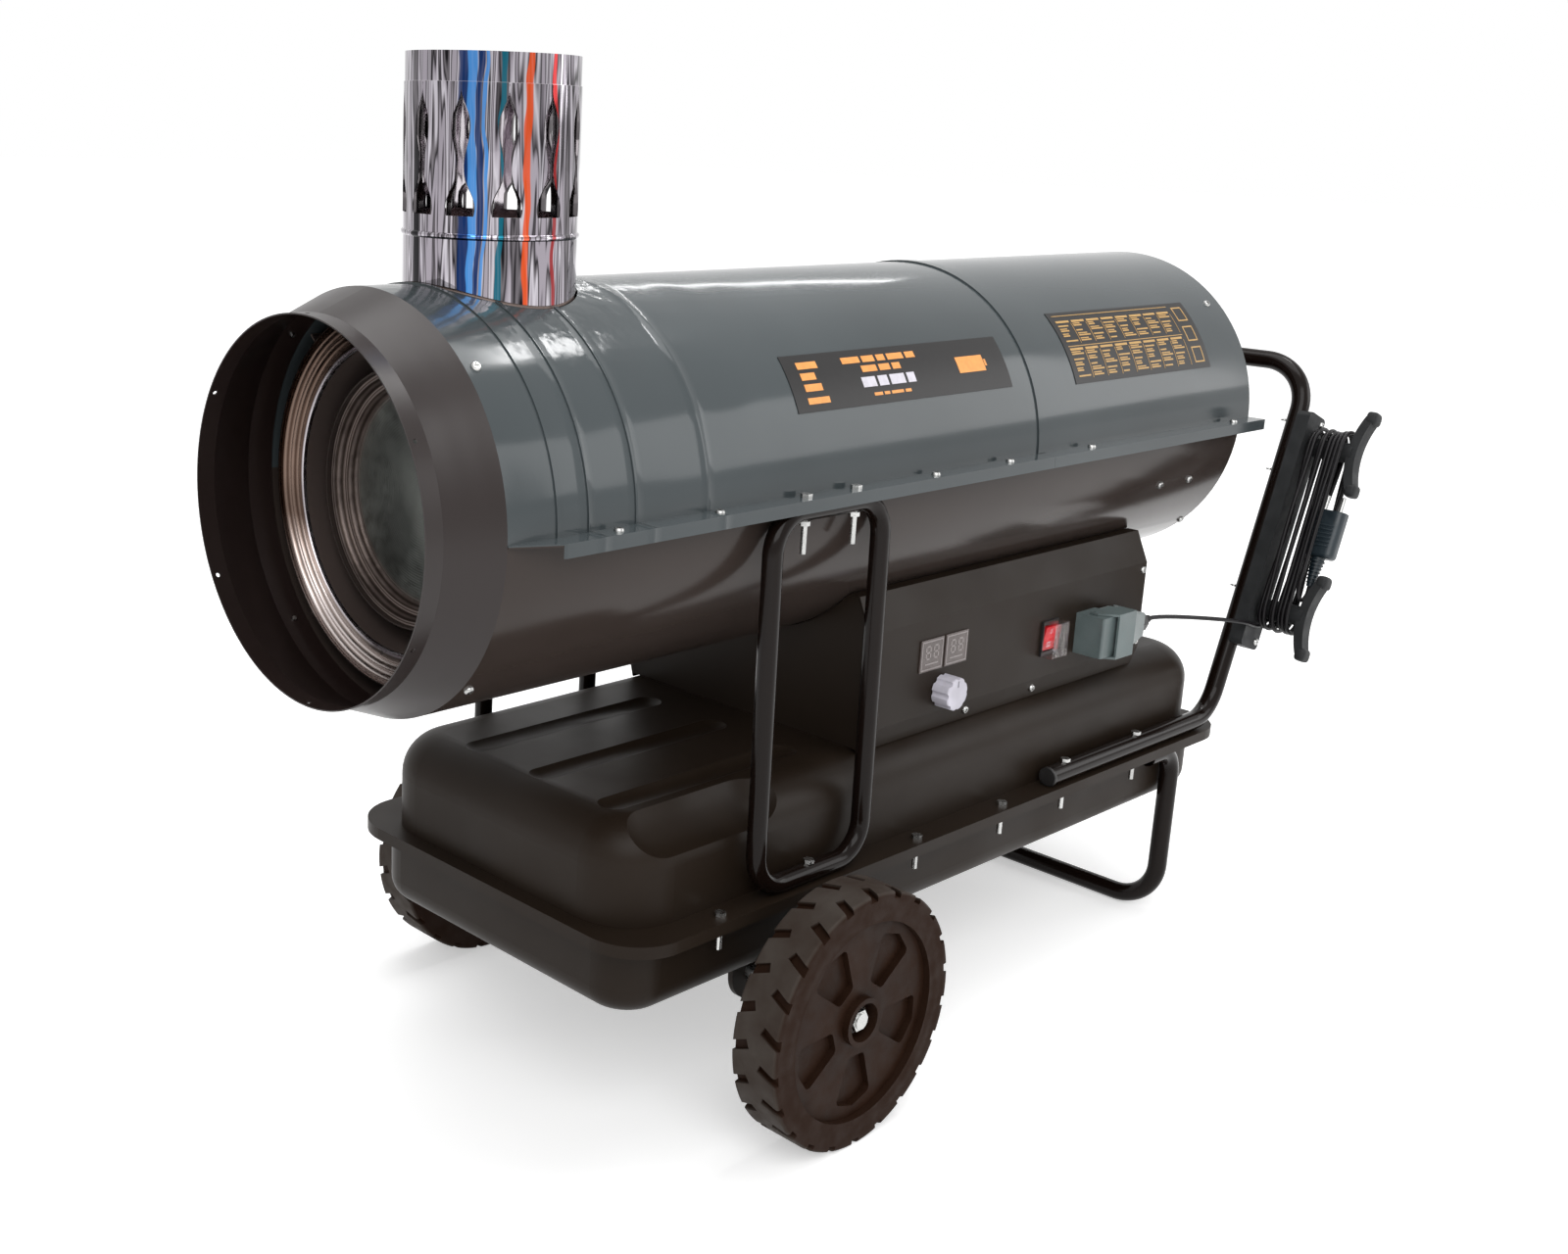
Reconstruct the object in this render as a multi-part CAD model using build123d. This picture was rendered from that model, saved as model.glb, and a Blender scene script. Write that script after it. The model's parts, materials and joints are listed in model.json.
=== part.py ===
from build123d import *
from math import atan, cos, pi, radians, sin, sqrt, tan
import os

# Indirect oil-fired space heater on two wheels. Lengths are millimetres.
# X runs from the air outlet to the air intake, -Y is the control side, +Z is up from the floor.
# Stations along X count from the outlet lip, and every piece is moved at the end so that the
# origin lies on the floor under the middle of the whole heater.

# Drum and its casing sheets
drum_radius = 182.5
drum_tank_gap = 96.5
casing_wall = 1.2
sheet_clearance = 0.3
lip_radius = 163.5
lip_length = 17.0
cone_length = 47.5
collar_length = 24.0
front_casing_length = 733.5
rear_casing_length = 432.5
lower_casing_shortfall = 20.0
joggle_length = 14.0
flange_reach = 21.2
flange_lip_drop = 12.0
flange_taper = 46.0
bead_height = 1.3
bead_width = 4.0
bead_shares = (0.07, 0.117, 0.19)
lip_hole_radius = 2.0
lip_hole_share = 0.35
lip_hole_count = 6
sheet_screw_angles = (46.0, 134.0, 226.0, 314.0)
collar_screw_share = 0.45

# Flue through the top of the drum
flue_radius = 75.0
flue_wall = 0.8
flue_setback = 129.3
flue_rise = 187.5
flue_rim_length = 24.0
flue_rim_step = 0.8
flue_collar_wall = 1.2
flue_hole_clearance = 1.5
flue_bead_rise = 41.0
flue_bead_radius = 3.0
louvre_count = 12
louvre_drop = 25.0
louvre_length = 105.0
louvre_width = 24.0
louvre_shares = ((0.0, 0.03), (0.1, 0.1), (0.25, 0.62), (0.38, 0.66), (0.55, 0.34), (0.72, 0.4),
                 (0.88, 1.0), (1.0, 1.0))

# Heat exchanger and combustion chamber
exchanger_radius = 163.0
exchanger_bore = 133.0
exchanger_wall = 1.5
exchanger_setback = 20.0
exchanger_length = 600.0
ridge_depth = 4.0
ridge_count = 3
ridge_dish = 8.0
chamber_radius = 113.0
chamber_wall = 1.5
chamber_setback = 38.0
chamber_length = 545.0
dish_radius = 95.0
dish_depth = 18.0
strap_width = 25.0
strap_thickness = 2.0
strap_count = 4
strap_angle = 45.0
duct_radius = 30.0
duct_setback = 470.0

# Burner
burner_radius = 45.0
burner_length = 130.0
burner_wall = 1.5
plate_thickness = 2.0
nozzle_radius = 8.0
nozzle_length = 48.0
nozzle_setback = 34.0
nozzle_tip = 5.0
spoke_width = 6.0
spoke_count = 3
spider_thickness = 4.0
electrode_radius = 3.0
electrode_length = 60.0
electrode_spread = 20.0
electrode_angle = 60.0

# Fan, motor and fuel pump
shaft_radius = 7.0
running_clearance = 0.05
motor_radius = 62.0
motor_length = 150.0
motor_setback = 900.0
motor_cap_radius = 54.0
motor_cap_length = 12.0
cradle_thickness = 3.0
cradle_half_width = 55.0
cradle_screw_shares = (0.2, 0.8)
cradle_screw_angles = (-78.0, -102.0)
fan_radius = 158.0
fan_hub_radius = 34.0
fan_hub_length = 42.0
fan_gap = 14.0
blade_count = 5
blade_chord = 92.0
blade_root_share = 0.42
blade_foot_share = 0.9
blade_thickness = 2.5
blade_pitch = 32.0
pump_size = 56.0
pump_length = 46.0
pump_gap = 10.0
pump_boss_radius = 16.0
fuel_line_radius = 4.0
fuel_line_bend = 24.0
fuel_line_rise_shares = (0.35, 0.65)
suction_line_offset = 14.0

# Intake guard
guard_setback = 36.0
guard_bar = 4.0
guard_ring_pitch = 22.0
guard_ring_count = 8
guard_spoke_count = 8
guard_tab_width = 16.0
guard_tab_length = 16.0

# Fuel tank
tank_flange_front = 195.0
tank_tail = 160.0
tank_flange_half_width = 210.0
tank_flange_corner = 55.0
tank_axle_gap = 19.0
tank_wall = 1.5
tank_rim_drop = 12.0
tank_upper_depth = 96.0
tank_inset = 17.0
tank_upper_half_width = 180.0
tank_upper_corner = 62.0
tank_upper_round = 42.0
tank_lower_depth = 84.0
tank_lower_half_width = 184.7
tank_lower_corner = 45.0
tank_lower_round = 25.0
groove_count = 3
groove_radius = 26.0
groove_depth = 5.0
groove_length = 230.0
groove_pitch = 94.0
groove_shift = -18.0
groove_setback = 66.0
scoop_radius = 55.0
scoop_length = 115.0
scoop_setback = 72.0
scoop_offset = 188.0
scoop_lift = 22.0
filler_gap = 75.0
filler_offset = 78.0
filler_radius = 24.0
filler_bore = 20.0
filler_height = 20.0
cap_radius = 33.0
cap_height = 24.0
cap_top = 5.0
cap_grip_count = 12
cap_grip_radius = 4.0
gauge_offset = -40.0
gauge_radius = 19.0
gauge_height = 14.0
gauge_stem_radius = 4.0
gauge_stem_length = 110.0
drain_inset = 75.0
drain_radius = 7.0
drain_head_radius = 12.0
drain_head_height = 8.0

# Control housing between tank and drum
box_setback = 485.5
box_length = 515.0
box_wall = 1.5
box_half_width = 165.0
box_foot_half_width = 158.0
box_top_half_width = 149.0
box_lap = 3.6
box_foot_rise = 19.0
box_crease_drop = 35.0
box_shoulder_rise = 59.5
box_flange = 16.0
board_thickness = 1.6
board_length = 160.0
board_height = 96.0
board_setback = 62.0
board_drop = 6.0
transformer_size = (90.0, 70.0, 62.0)
transformer_gap = 66.25
filter_radius = 24.0
filter_height = 52.0
filter_bowl_share = 0.7
filter_bowl_radius_share = 0.8

# Items on the control panel, as distances along X from the housing's front edge and down from its crease
display_count = 2
display_width = 38.0
display_height = 34.0
display_gap = 4.0
display_setback = 84.0
display_drop = 38.0
display_proud = 1.5
display_body_inset = 2.0
knob_radius = 17.5
knob_length = 20.0
knob_setback = 126.0
knob_drop = 80.0
knob_shaft_radius = 3.0
knob_flute_count = 8
knob_flute_radius = 4.0
knob_standoff = 0.8
switch_setback = 319.0
switch_drop = 57.0
bezel_width = 30.0
bezel_height = 40.0
bezel_thickness = 2.5
rocker_width = 21.4
rocker_height = 27.6
rocker_clearance = 1.2
rocker_rise = 5.0
rocker_depth = 9.0
rocker_edge_share = 0.6
rocker_dip_share = 0.4
rocker_tilt = 8.0
switch_body_depth = 20.0
switch_body_wall = 1.2
cover_depth = 15.0
cover_wall = 1.0
inlet_setback = 373.0
inlet_length = 38.0
inlet_height = 46.0
inlet_depth = 35.0
inlet_drop = 61.0
hood_length = 58.0
hood_taper = 9.0
gland_radius = 12.0
gland_length = 16.0
gland_tail = 14.0
gland_tail_radius = 5.0
gland_nut_share = 0.6
gland_dome_share = 0.9
gland_tip_share = 1.3
latch_setback = 12.0
latch_thickness = 2.5
latch_gap = 0.4
latch_arm = 10.0
latch_stud_radius = 2.5
latch_stud_reach = 40.0
latch_bar_gap = 3.5

# Tube frames
side_tube_radius = 9.5
side_tube_wall = 1.5
side_frame_centre = 440.0
side_frame_half_length = 76.0
side_frame_corner = 36.0
side_frame_bolt_share = 0.46
frame_offset = 196.5
handle_tube_radius = 11.0
handle_tube_wall = 1.6
handle_run = 345.5
handle_bend_inset = 31.5
handle_slope = 0.375
handle_rise = 449.6
handle_lower_bend = 52.0
handle_upper_bend = 58.0
handle_bolt_shares = (0.09, 0.52)
plug_head_length = 3.0
plug_spigot_length = 14.0
foot_inset = 107.0
foot_run = 58.0
foot_bar_height = 11.0
foot_top_bend = 32.0
foot_bottom_bend = 52.0

# Wheels and axle
wheel_radius = 126.0
wheel_width = 51.0
wheel_station = 421.4
wheel_outer_face = 290.0
hub_radius = 98.0
hub_web = 14.0
hub_rim_depth = 9.0
pocket_count = 5
pocket_inner_radius = 36.0
pocket_outer_radius = 80.0
pocket_spread = 50.0
hub_boss_radius = 24.0
hub_recess = 14.0
hub_recess_radius = 19.0
tread_count = 22
tread_slot_width = 9.0
tread_slot_depth = 6.0
tread_slot_share = 0.4
tread_slant = 24.0
axle_radius = 8.0
axle_end_gap = 3.0
washer_radius = 15.0
washer_thickness = 2.0
nut_radius = 11.0
nut_thickness = 7.0
spacer_radius = 12.0
axle_lug_offset = 150.0
axle_lug_thickness = 6.0
axle_lug_width = 60.0

# Fasteners
screw_radius = 2.0
screw_head_radius = 4.4
screw_head_height = 2.6
screw_length = 8.0
bolt_radius = 2.8
bolt_head_radius = 5.5
bolt_head_height = 3.6
bolt_tail = 30.0
bolt_nut_radius = 5.0
bolt_nut_height = 4.0
hole_clearance = 0.2
flange_screw_shares = (0.093, 0.195, 0.455, 0.561, 0.69, 0.9515)
tank_bolt_shares = (0.12, 0.404, 0.549)

# Cable store on the handle
store_start = 94.0
store_length = 296.0
store_front = 14.0
store_back = 32.0
store_depth = 10.5
store_cheek = 6.0
peg_low = 146.0
peg_high = 351.0
peg_offset = 14.0
peg_radius = 12.0
peg_length = 48.0
cleat_half_length = 46.0
cleat_width = 20.0
cleat_thickness = 11.0
cleat_flare = 10.0

# Mains cable
cord_radius = 2.5
cord_turns = 8
cord_pitch = 5.6
cord_seat = 4.0
cord_loop_radius = 17.6
cord_back_extra = 1.0
cord_slack_back = 4.0
cord_slack_front = 8.0
cord_back_wave = 1.9
cord_front_wave = 1.3
cord_front_phase = 0.6
cord_last_front = 27.0
cord_exit_run = 22.0
cord_entry_reach = 22.0
cord_entry_lift = 3.1
cord_bend_share = 0.45
plug_start = 184.0
plug_offset = -265.0
plug_across = 17.0
relief_length = 36.0
relief_radius = 8.0
relief_tip_radius = 4.0
plug_body_length = 58.0
plug_body_width = 38.0
plug_body_thickness = 23.0
plug_body_round = 9.0
pin_radius = 2.4
pin_length = 19.0
pin_spread = 9.5

# Label plates on the drum
label_thickness = 0.6
label_gap = 0.1
front_label_setback = 351.5
front_label_length = 332.0
front_label_angles = (23.0, 40.5)
rear_label_setback = 798.5
rear_label_length = 283.0
rear_label_angles = (21.0, 47.5)

overrun = 30.0
standing = (Align.CENTER, Align.CENTER, Align.MIN)
hanging = (Align.CENTER, Align.CENTER, Align.MAX)

# Heights worked out from the sizes above, from the floor up
tank_bottom = wheel_radius + tank_axle_gap
tank_flange_height = tank_bottom + tank_lower_depth
tank_top = tank_flange_height + tank_upper_depth
drum_underside = tank_top + drum_tank_gap
drum_height = drum_underside + drum_radius
drum_crown = drum_height + drum_radius
flue_top = drum_crown + flue_rise
flue_bead_height = drum_crown + flue_bead_rise
louvre_top = flue_top - louvre_drop
box_bottom = tank_top - box_lap
box_foot_height = tank_top + box_foot_rise
box_shoulder = drum_underside + box_shoulder_rise
box_crease = box_shoulder - box_crease_drop
display_centre_height = box_crease - display_drop
knob_height = box_crease - knob_drop
switch_height = box_crease - switch_drop
inlet_centre_height = box_crease - inlet_drop

# Stations worked out from the sizes above, from the outlet lip to the rear
casing_start = lip_length + cone_length
casing_seam = casing_start + front_casing_length
casing_end = casing_seam + rear_casing_length
lower_end = casing_end - lower_casing_shortfall
casing_inside = drum_radius - casing_wall
flue_station = casing_start + flue_setback
exchanger_start = casing_start + exchanger_setback
exchanger_end = exchanger_start + exchanger_length
chamber_start = casing_start + chamber_setback
chamber_end = chamber_start + chamber_length
motor_start = casing_start + motor_setback
motor_end = motor_start + motor_length
fan_start = motor_end + fan_gap
pump_start = motor_start - pump_gap - pump_length
guard_station = casing_end - guard_setback
flange_underside = tank_flange_height - tank_wall - tank_wall
box_front = casing_start + box_setback
box_back = box_front + box_length
tank_flange_back = box_back + tank_tail
tank_flange_length = tank_flange_back - tank_flange_front
filler_station = box_back + filler_gap
drain_station = tank_flange_back - drain_inset
foot_station = tank_flange_back - foot_inset
panel_face = -box_half_width
handle_bend_station = tank_flange_back - handle_bend_inset
handle_start = handle_bend_station - handle_run
handle_lean = atan(handle_slope)
handle_height = tank_flange_height + handle_tube_radius
side_frame_bottom = tank_flange_height + side_tube_radius
side_frame_top = drum_height - casing_wall - side_tube_radius - hole_clearance
side_frame_top_offset = drum_radius + side_tube_radius + sheet_clearance
handle_top_station = handle_bend_station + handle_rise * sin(handle_lean)
handle_top_height = handle_height + handle_rise * cos(handle_lean)
heater_length = handle_top_station + handle_tube_radius
place = Location((-heater_length / 2, 0, 0))
drum_axis = Axis((0, 0, drum_height), (1, 0, 0))


def export(name, *solids):
    """Write one node, moved so that the heater's middle stands on the origin."""
    moved = []
    for group in solids:
        moved += [solid.moved(place) for solid in group.solids()]
    shape = moved[0] if len(moved) == 1 else Compound(children=moved)
    export_step(shape, f"parts/{name}.step")


def mirrored(shape):
    """The same piece on the other side of the heater."""
    return mirror(shape, about=Plane.XZ)


def drum_plane(station):
    """Cross-section of the drum: local x is +Y, local y is +Z."""
    return Plane(origin=(station, 0, drum_height), x_dir=(0, 1, 0), z_dir=(1, 0, 0))


def section(station):
    """Cross-section of the heater from the floor up: local x is +Y, local y is +Z."""
    return Plane(origin=(station, 0, 0), x_dir=(0, 1, 0), z_dir=(1, 0, 0))


def drum_tube(outer, inner, start, end):
    return extrude(drum_plane(start) * (Circle(outer) - Circle(inner)), amount=end - start)


def drum_cylinder(radius, start, end):
    return extrude(drum_plane(start) * Circle(radius), amount=end - start)


def turned(profile):
    """Solid turned about the drum's axis from (station, radius) points."""
    corners = [(station, 0, drum_height + radius) for station, radius in profile]
    return revolve(Face(Polyline(*corners, close=True)), axis=drum_axis)


def upright(x, y, bottom, top, radius):
    return extrude(Plane(origin=(x, y, bottom)) * Circle(radius), amount=top - bottom)


def block(x_span, y_span, z_span):
    size = [high - low for low, high in (x_span, y_span, z_span)]
    middle = [(high + low) / 2 for low, high in (x_span, y_span, z_span)]
    return Pos(*middle) * Box(*size)


def radial_plane(station, angle, radius):
    """Plane on the drum's surface, angle above the level on the control side."""
    out = (0, -cos(radians(angle)), sin(radians(angle)))
    origin = (station, out[1] * radius, drum_height + out[2] * radius)
    return Plane(origin=origin, x_dir=(1, 0, 0), z_dir=out)


def screw(plane, length=screw_length):
    """Pan head on the plane, with its shank behind it."""
    head = Cylinder(screw_head_radius, screw_head_height, align=standing)
    head = fillet(head.edges().sort_by(Axis.Z)[-1], screw_head_height / 2)
    shank = Cylinder(screw_radius, length, align=hanging)
    return plane.location * (head + shank)


def screw_hole(plane, length=screw_length):
    return plane.location * Cylinder(screw_radius + hole_clearance, length + length)


def bolt(x, y, top, bottom):
    """Upright bolt: hexagon head at the top, nut under the bottom and the thread's tail below it."""
    head = Plane(origin=(x, y, top)) * RegularPolygon(bolt_head_radius, 6)
    nut = Plane(origin=(x, y, bottom - bolt_nut_height)) * RegularPolygon(bolt_nut_radius, 6)
    body = extrude(head, amount=bolt_head_height) + extrude(nut, amount=bolt_nut_height)
    return body + upright(x, y, bottom - bolt_tail, top, bolt_radius)


def bolt_hole(x, y, low, high):
    return upright(x, y, low, high, bolt_radius + hole_clearance)


def tube_along(path, radius, wall):
    start = Plane(origin=path @ 0, z_dir=path % 0)
    return sweep(start * (Circle(radius) - Circle(radius - wall)), path=path)


def raised(plane, shape, height):
    """The flat shape laid on the plane and thickened along the plane's normal."""
    return extrude(plane * shape, amount=height, dir=plane.z_dir)


def rounded_slab(front, back, half_width, corner, low, high):
    middle = (front + back) / 2
    outline = Plane(origin=(middle, 0, low)) * RectangleRounded(back - front, half_width + half_width, corner)
    return extrude(outline, amount=high - low)


# Outlet cone

def lip_holes():
    holes = Part()
    for index in range(lip_hole_count):
        angle = 360 * index / lip_hole_count + 180 / lip_hole_count
        plane = radial_plane(lip_length * lip_hole_share, angle, lip_radius)
        holes += plane.location * Cylinder(lip_hole_radius, drum_radius - lip_radius)
    return holes


def outlet_screw_planes(radius):
    station = casing_start + collar_length * collar_screw_share
    return [radial_plane(station, angle, radius) for angle in sheet_screw_angles]


def make_outlet_cone():
    collar = casing_inside - sheet_clearance
    outer = [(0, lip_radius), (lip_length, lip_radius), (casing_start, drum_radius)]
    step = [(casing_start, collar), (casing_start + collar_length, collar)]
    inner = collar - casing_wall
    inside = [(casing_start + collar_length, inner), (casing_start - casing_wall, inner)]
    front = [(lip_length, lip_radius - casing_wall), (0, lip_radius - casing_wall)]
    cone = turned(outer + step + inside + front) - lip_holes()
    for plane in outlet_screw_planes(casing_inside):
        cone -= screw_hole(plane)
    return cone


# Casing sheets

def side_flange(side, top, bottom, reach):
    low, high = sorted((side * (casing_inside), side * reach))
    return Pos((low + high) / 2, (top + bottom) / 2) * Rectangle(high - low, top - bottom)


def upper_outline(inner, outer, with_flange):
    ring = Circle(outer) - Circle(inner)
    half = ring & (Pos(0, drum_radius) * Rectangle(4 * drum_radius, 2 * drum_radius))
    if with_flange:
        edge = drum_radius + flange_reach
        for side in (-1, 1):
            half += side_flange(side, casing_wall, 0, edge)
            lip = Rectangle(casing_wall, flange_lip_drop)
            half += Pos(side * (edge - casing_wall / 2), casing_wall - flange_lip_drop / 2) * lip
    return half


def lower_outline():
    ring = Circle(drum_radius) - Circle(casing_inside)
    half = ring & (Pos(0, -drum_radius) * Rectangle(4 * drum_radius, 2 * drum_radius))
    edge = drum_radius + flange_reach - casing_wall - sheet_clearance
    for side in (-1, 1):
        half += side_flange(side, 0, -casing_wall, edge)
    return half


def flange_bolt_stations():
    span = side_frame_half_length * side_frame_bolt_share
    return [side_frame_centre - span, side_frame_centre + span]


def flange_screw_stations():
    return [casing_start + share * (casing_end - casing_start) for share in flange_screw_shares]


def flange_cuts():
    offset = drum_radius + flange_reach / 2
    cuts = Part()
    for station in flange_screw_stations():
        for side in (-1, 1):
            hole = Cylinder(screw_radius + hole_clearance, overrun)
            cuts += Pos(station, side * offset, drum_height) * hole
    for station in flange_bolt_stations():
        for side in (-1, 1):
            y = side * side_frame_top_offset
            cuts += bolt_hole(station, y, drum_height - overrun, drum_height + overrun)
    return cuts


def flange_nose():
    """Wedges that taper both side flanges towards the outlet."""
    edge = drum_radius + flange_reach + casing_wall
    corners = ((casing_start - overrun, drum_radius + casing_wall), (casing_start, drum_radius + casing_wall),
               (casing_start + flange_taper, edge), (casing_start - overrun, edge))
    low = drum_height - flange_lip_drop - casing_wall
    wedge = raised(Plane(origin=(0, 0, low)), Polygon(*corners, align=None), flange_lip_drop * 2)
    return wedge + mirrored(wedge)


def make_casing_upper_front():
    joggle_start = casing_seam - joggle_length
    main = extrude(drum_plane(casing_start) * upper_outline(casing_inside, drum_radius, True),
                   amount=joggle_start - casing_start)
    raised_radius = drum_radius + sheet_clearance
    end_ring = upper_outline(casing_inside, raised_radius + casing_wall, False)
    step = extrude(drum_plane(joggle_start - casing_wall) * end_ring, amount=casing_wall)
    above = Pos(0, drum_radius + casing_wall + sheet_clearance) * Rectangle(4 * drum_radius, 2 * drum_radius)
    overlap = upper_outline(raised_radius, raised_radius + casing_wall, False) & above
    band = extrude(drum_plane(joggle_start - casing_wall) * overlap, amount=joggle_length + casing_wall)
    shell = main + step + band
    length = joggle_start - casing_start
    for share in bead_shares:
        bead = upper_outline(casing_inside, drum_radius + bead_height, False)
        shell += extrude(drum_plane(casing_start + share * length) * bead, amount=bead_width)
    shell -= upright(flue_station, 0, drum_height, flue_top, flue_radius + flue_hole_clearance)
    shell -= flange_nose()
    shell -= flange_cuts()
    for plane in outlet_screw_planes(casing_inside):
        shell -= screw_hole(plane)
    return shell


def make_casing_upper_rear():
    start = casing_seam - joggle_length + sheet_clearance
    outline = upper_outline(casing_inside, drum_radius, True)
    shell = extrude(drum_plane(start) * outline, amount=casing_end - start)
    shell -= flange_cuts()
    for plane in guard_screw_planes(casing_inside):
        shell -= screw_hole(plane)
    return shell


def make_casing_lower():
    shell = extrude(drum_plane(casing_start) * lower_outline(), amount=lower_end - casing_start)
    shell -= flange_nose()
    shell -= flange_cuts()
    shell -= upright(pump_line_station(), suction_line_offset, drum_height - drum_radius - overrun, drum_height,
                     fuel_line_radius + flue_hole_clearance)
    for plane in outlet_screw_planes(casing_inside) + guard_screw_planes(casing_inside):
        shell -= screw_hole(plane)
    for plane in cradle_screw_planes(casing_inside):
        shell -= screw_hole(plane)
    return shell


def guard_screw_planes(radius):
    station = guard_station + guard_tab_length / 2
    return [radial_plane(station, angle, radius) for angle in sheet_screw_angles]


def cradle_screw_planes(radius):
    planes = []
    for share in cradle_screw_shares:
        for angle in cradle_screw_angles:
            planes.append(radial_plane(motor_start + motor_length * share, angle, radius))
    return planes


def make_casing_screws():
    seat = drum_radius + sheet_clearance / 6
    planes = outlet_screw_planes(seat) + guard_screw_planes(seat) + cradle_screw_planes(seat)
    return [screw(plane, casing_wall * 4) for plane in planes]


def make_flange_screws():
    offset = drum_radius + flange_reach / 2
    screws = []
    for station in flange_screw_stations():
        for side in (-1, 1):
            screws.append(screw(Plane(origin=(station, side * offset, drum_height + casing_wall))))
    return screws


def make_label_plates():
    plates = []
    rows = ((front_label_setback, front_label_length, front_label_angles),
            (rear_label_setback, rear_label_length, rear_label_angles))
    for setback, length, (low, high) in rows:
        start = casing_start + setback
        inner = drum_radius + label_gap
        reach = drum_radius + drum_radius
        rays = [(-reach * cos(radians(a)), reach * sin(radians(a))) for a in (low, high)]
        wedge = Polygon((0, 0), *rays, align=None)
        outline = (Circle(inner + label_thickness) - Circle(inner)) & wedge
        plates.append(extrude(drum_plane(start) * outline, amount=length))
    return plates


# Flue

def louvre_cut():
    """Waisted slot with a pointed top and a flat foot, through one side of the pipe."""
    half = louvre_width / 2
    right = [(across * half, -down * louvre_length) for down, across in louvre_shares]
    left = [(-across, down) for across, down in reversed(right)]
    side = Spline(*right).edge()
    other = Spline(*left).edge()
    outline = Wire([side, Line(side @ 1, other @ 0).edge(), other, Line(other @ 1, side @ 0).edge()])
    plane = Plane(origin=(flue_station, 0, louvre_top), x_dir=(0, 1, 0), z_dir=(1, 0, 0))
    return raised(plane, Sketch(Face(outline).wrapped), flue_radius + overrun)


def make_flue_pipe():
    rim_start = flue_top - flue_rim_length
    rim_radius = flue_radius - flue_rim_step
    pipe = upright(flue_station, 0, drum_height, rim_start, flue_radius)
    pipe += upright(flue_station, 0, rim_start, flue_top, rim_radius)
    bead = Pos(flue_station, 0, flue_bead_height) * Torus(flue_radius - flue_bead_radius / 2, flue_bead_radius)
    pipe += bead
    pipe -= upright(flue_station, 0, drum_height, rim_start - flue_wall, flue_radius - flue_wall)
    pipe -= upright(flue_station, 0, drum_height, flue_top + overrun, rim_radius - flue_wall)
    slot = louvre_cut()
    centre = Axis((flue_station, 0, 0), (0, 0, 1))
    for index in range(louvre_count):
        pipe -= slot.rotate(centre, 360 * index / louvre_count)
    return pipe - drum_cylinder(drum_radius + bead_height + sheet_clearance, 0, casing_seam)


# Heat exchanger

def ridge_points(outer, inner, start, dish, depth, count):
    """Points (station, radius) across a ridged ring that dishes in towards its bore."""
    steps = 2 * count
    points = []
    for index in range(steps + 1):
        share = index / steps
        wave = depth * (index % 2)
        points.append((start + dish * share - wave, outer + (inner - outer) * share))
    return points


def make_exchanger_front_ring():
    outer = exchanger_radius - exchanger_wall - sheet_clearance
    inner = exchanger_bore + exchanger_wall + sheet_clearance
    front = ridge_points(outer, inner, exchanger_start + ridge_depth, ridge_dish, ridge_depth, ridge_count)
    back = [(station + exchanger_wall, radius) for station, radius in reversed(front)]
    return turned(front + back)


def make_exchanger():
    outer_shell = drum_tube(exchanger_radius, exchanger_radius - exchanger_wall, exchanger_start, exchanger_end)
    bore_start = exchanger_start + ridge_dish
    inner_shell = drum_tube(exchanger_bore + exchanger_wall, exchanger_bore, bore_start, exchanger_end)
    back_ring = drum_tube(exchanger_radius, exchanger_bore, exchanger_end - exchanger_wall, exchanger_end)
    body = outer_shell + inner_shell + back_ring
    collar_radius = flue_radius - flue_wall - sheet_clearance
    collar_inside = collar_radius - flue_collar_wall
    collar_top = flue_bead_height - flue_bead_radius - sheet_clearance
    collar = upright(flue_station, 0, drum_height, collar_top, collar_radius)
    collar -= drum_cylinder(exchanger_radius - exchanger_wall / 2, 0, casing_seam)
    body += collar
    body -= upright(flue_station, 0, drum_height + exchanger_bore + exchanger_wall * 2, collar_top + overrun,
                    collar_inside)
    for station in (exchanger_start + strap_width, exchanger_end - strap_width * 2):
        for index in range(strap_count):
            angle = strap_angle + 360 * index / strap_count
            body += strap(station, angle)
    for plane in duct_planes():
        bore = Cylinder(duct_radius, exchanger_radius - chamber_radius)
        body -= (plane.location * bore) & drum_cylinder(exchanger_radius - exchanger_wall * 2, 0, casing_seam)
    return body


def strap(station, angle):
    """Short bracket that carries the exchanger in the casing."""
    middle = (exchanger_radius + casing_inside - sheet_clearance) / 2
    height = casing_inside - sheet_clearance - exchanger_radius
    leg = Box(strap_width, strap_thickness, height + exchanger_wall)
    between = drum_tube(casing_inside - sheet_clearance, exchanger_radius - exchanger_wall / 2, 0, casing_seam)
    return (radial_plane(station, angle, middle).location * leg) & between


def duct_planes():
    station = casing_start + duct_setback
    middle = (exchanger_bore + chamber_radius) / 2
    return [radial_plane(station, angle, middle) for angle in (0, 180)]


def make_combustion_chamber():
    chamber = drum_tube(chamber_radius, chamber_radius - chamber_wall, chamber_start, chamber_end)
    between = drum_tube(exchanger_bore + exchanger_wall, chamber_radius - chamber_wall / 2, 0, casing_seam)
    for plane in duct_planes():
        length = exchanger_bore - chamber_radius + exchanger_wall * 2
        wall = plane.location * Cylinder(duct_radius - sheet_clearance, length)
        chamber += wall & between
    for plane in duct_planes():
        bore = Cylinder(duct_radius - sheet_clearance - chamber_wall, exchanger_radius / 2)
        chamber -= plane.location * bore
    return chamber


def make_chamber_front():
    outer = chamber_radius - chamber_wall - sheet_clearance
    start = chamber_start + ridge_depth
    front = ridge_points(outer, dish_radius, start, dish_depth, ridge_depth, ridge_count - 1)
    front += [(start + dish_depth, 0)]
    back = [(station + chamber_wall, radius) for station, radius in reversed(front)]
    return turned(front + back)


# Burner, pump, motor and fan

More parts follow.
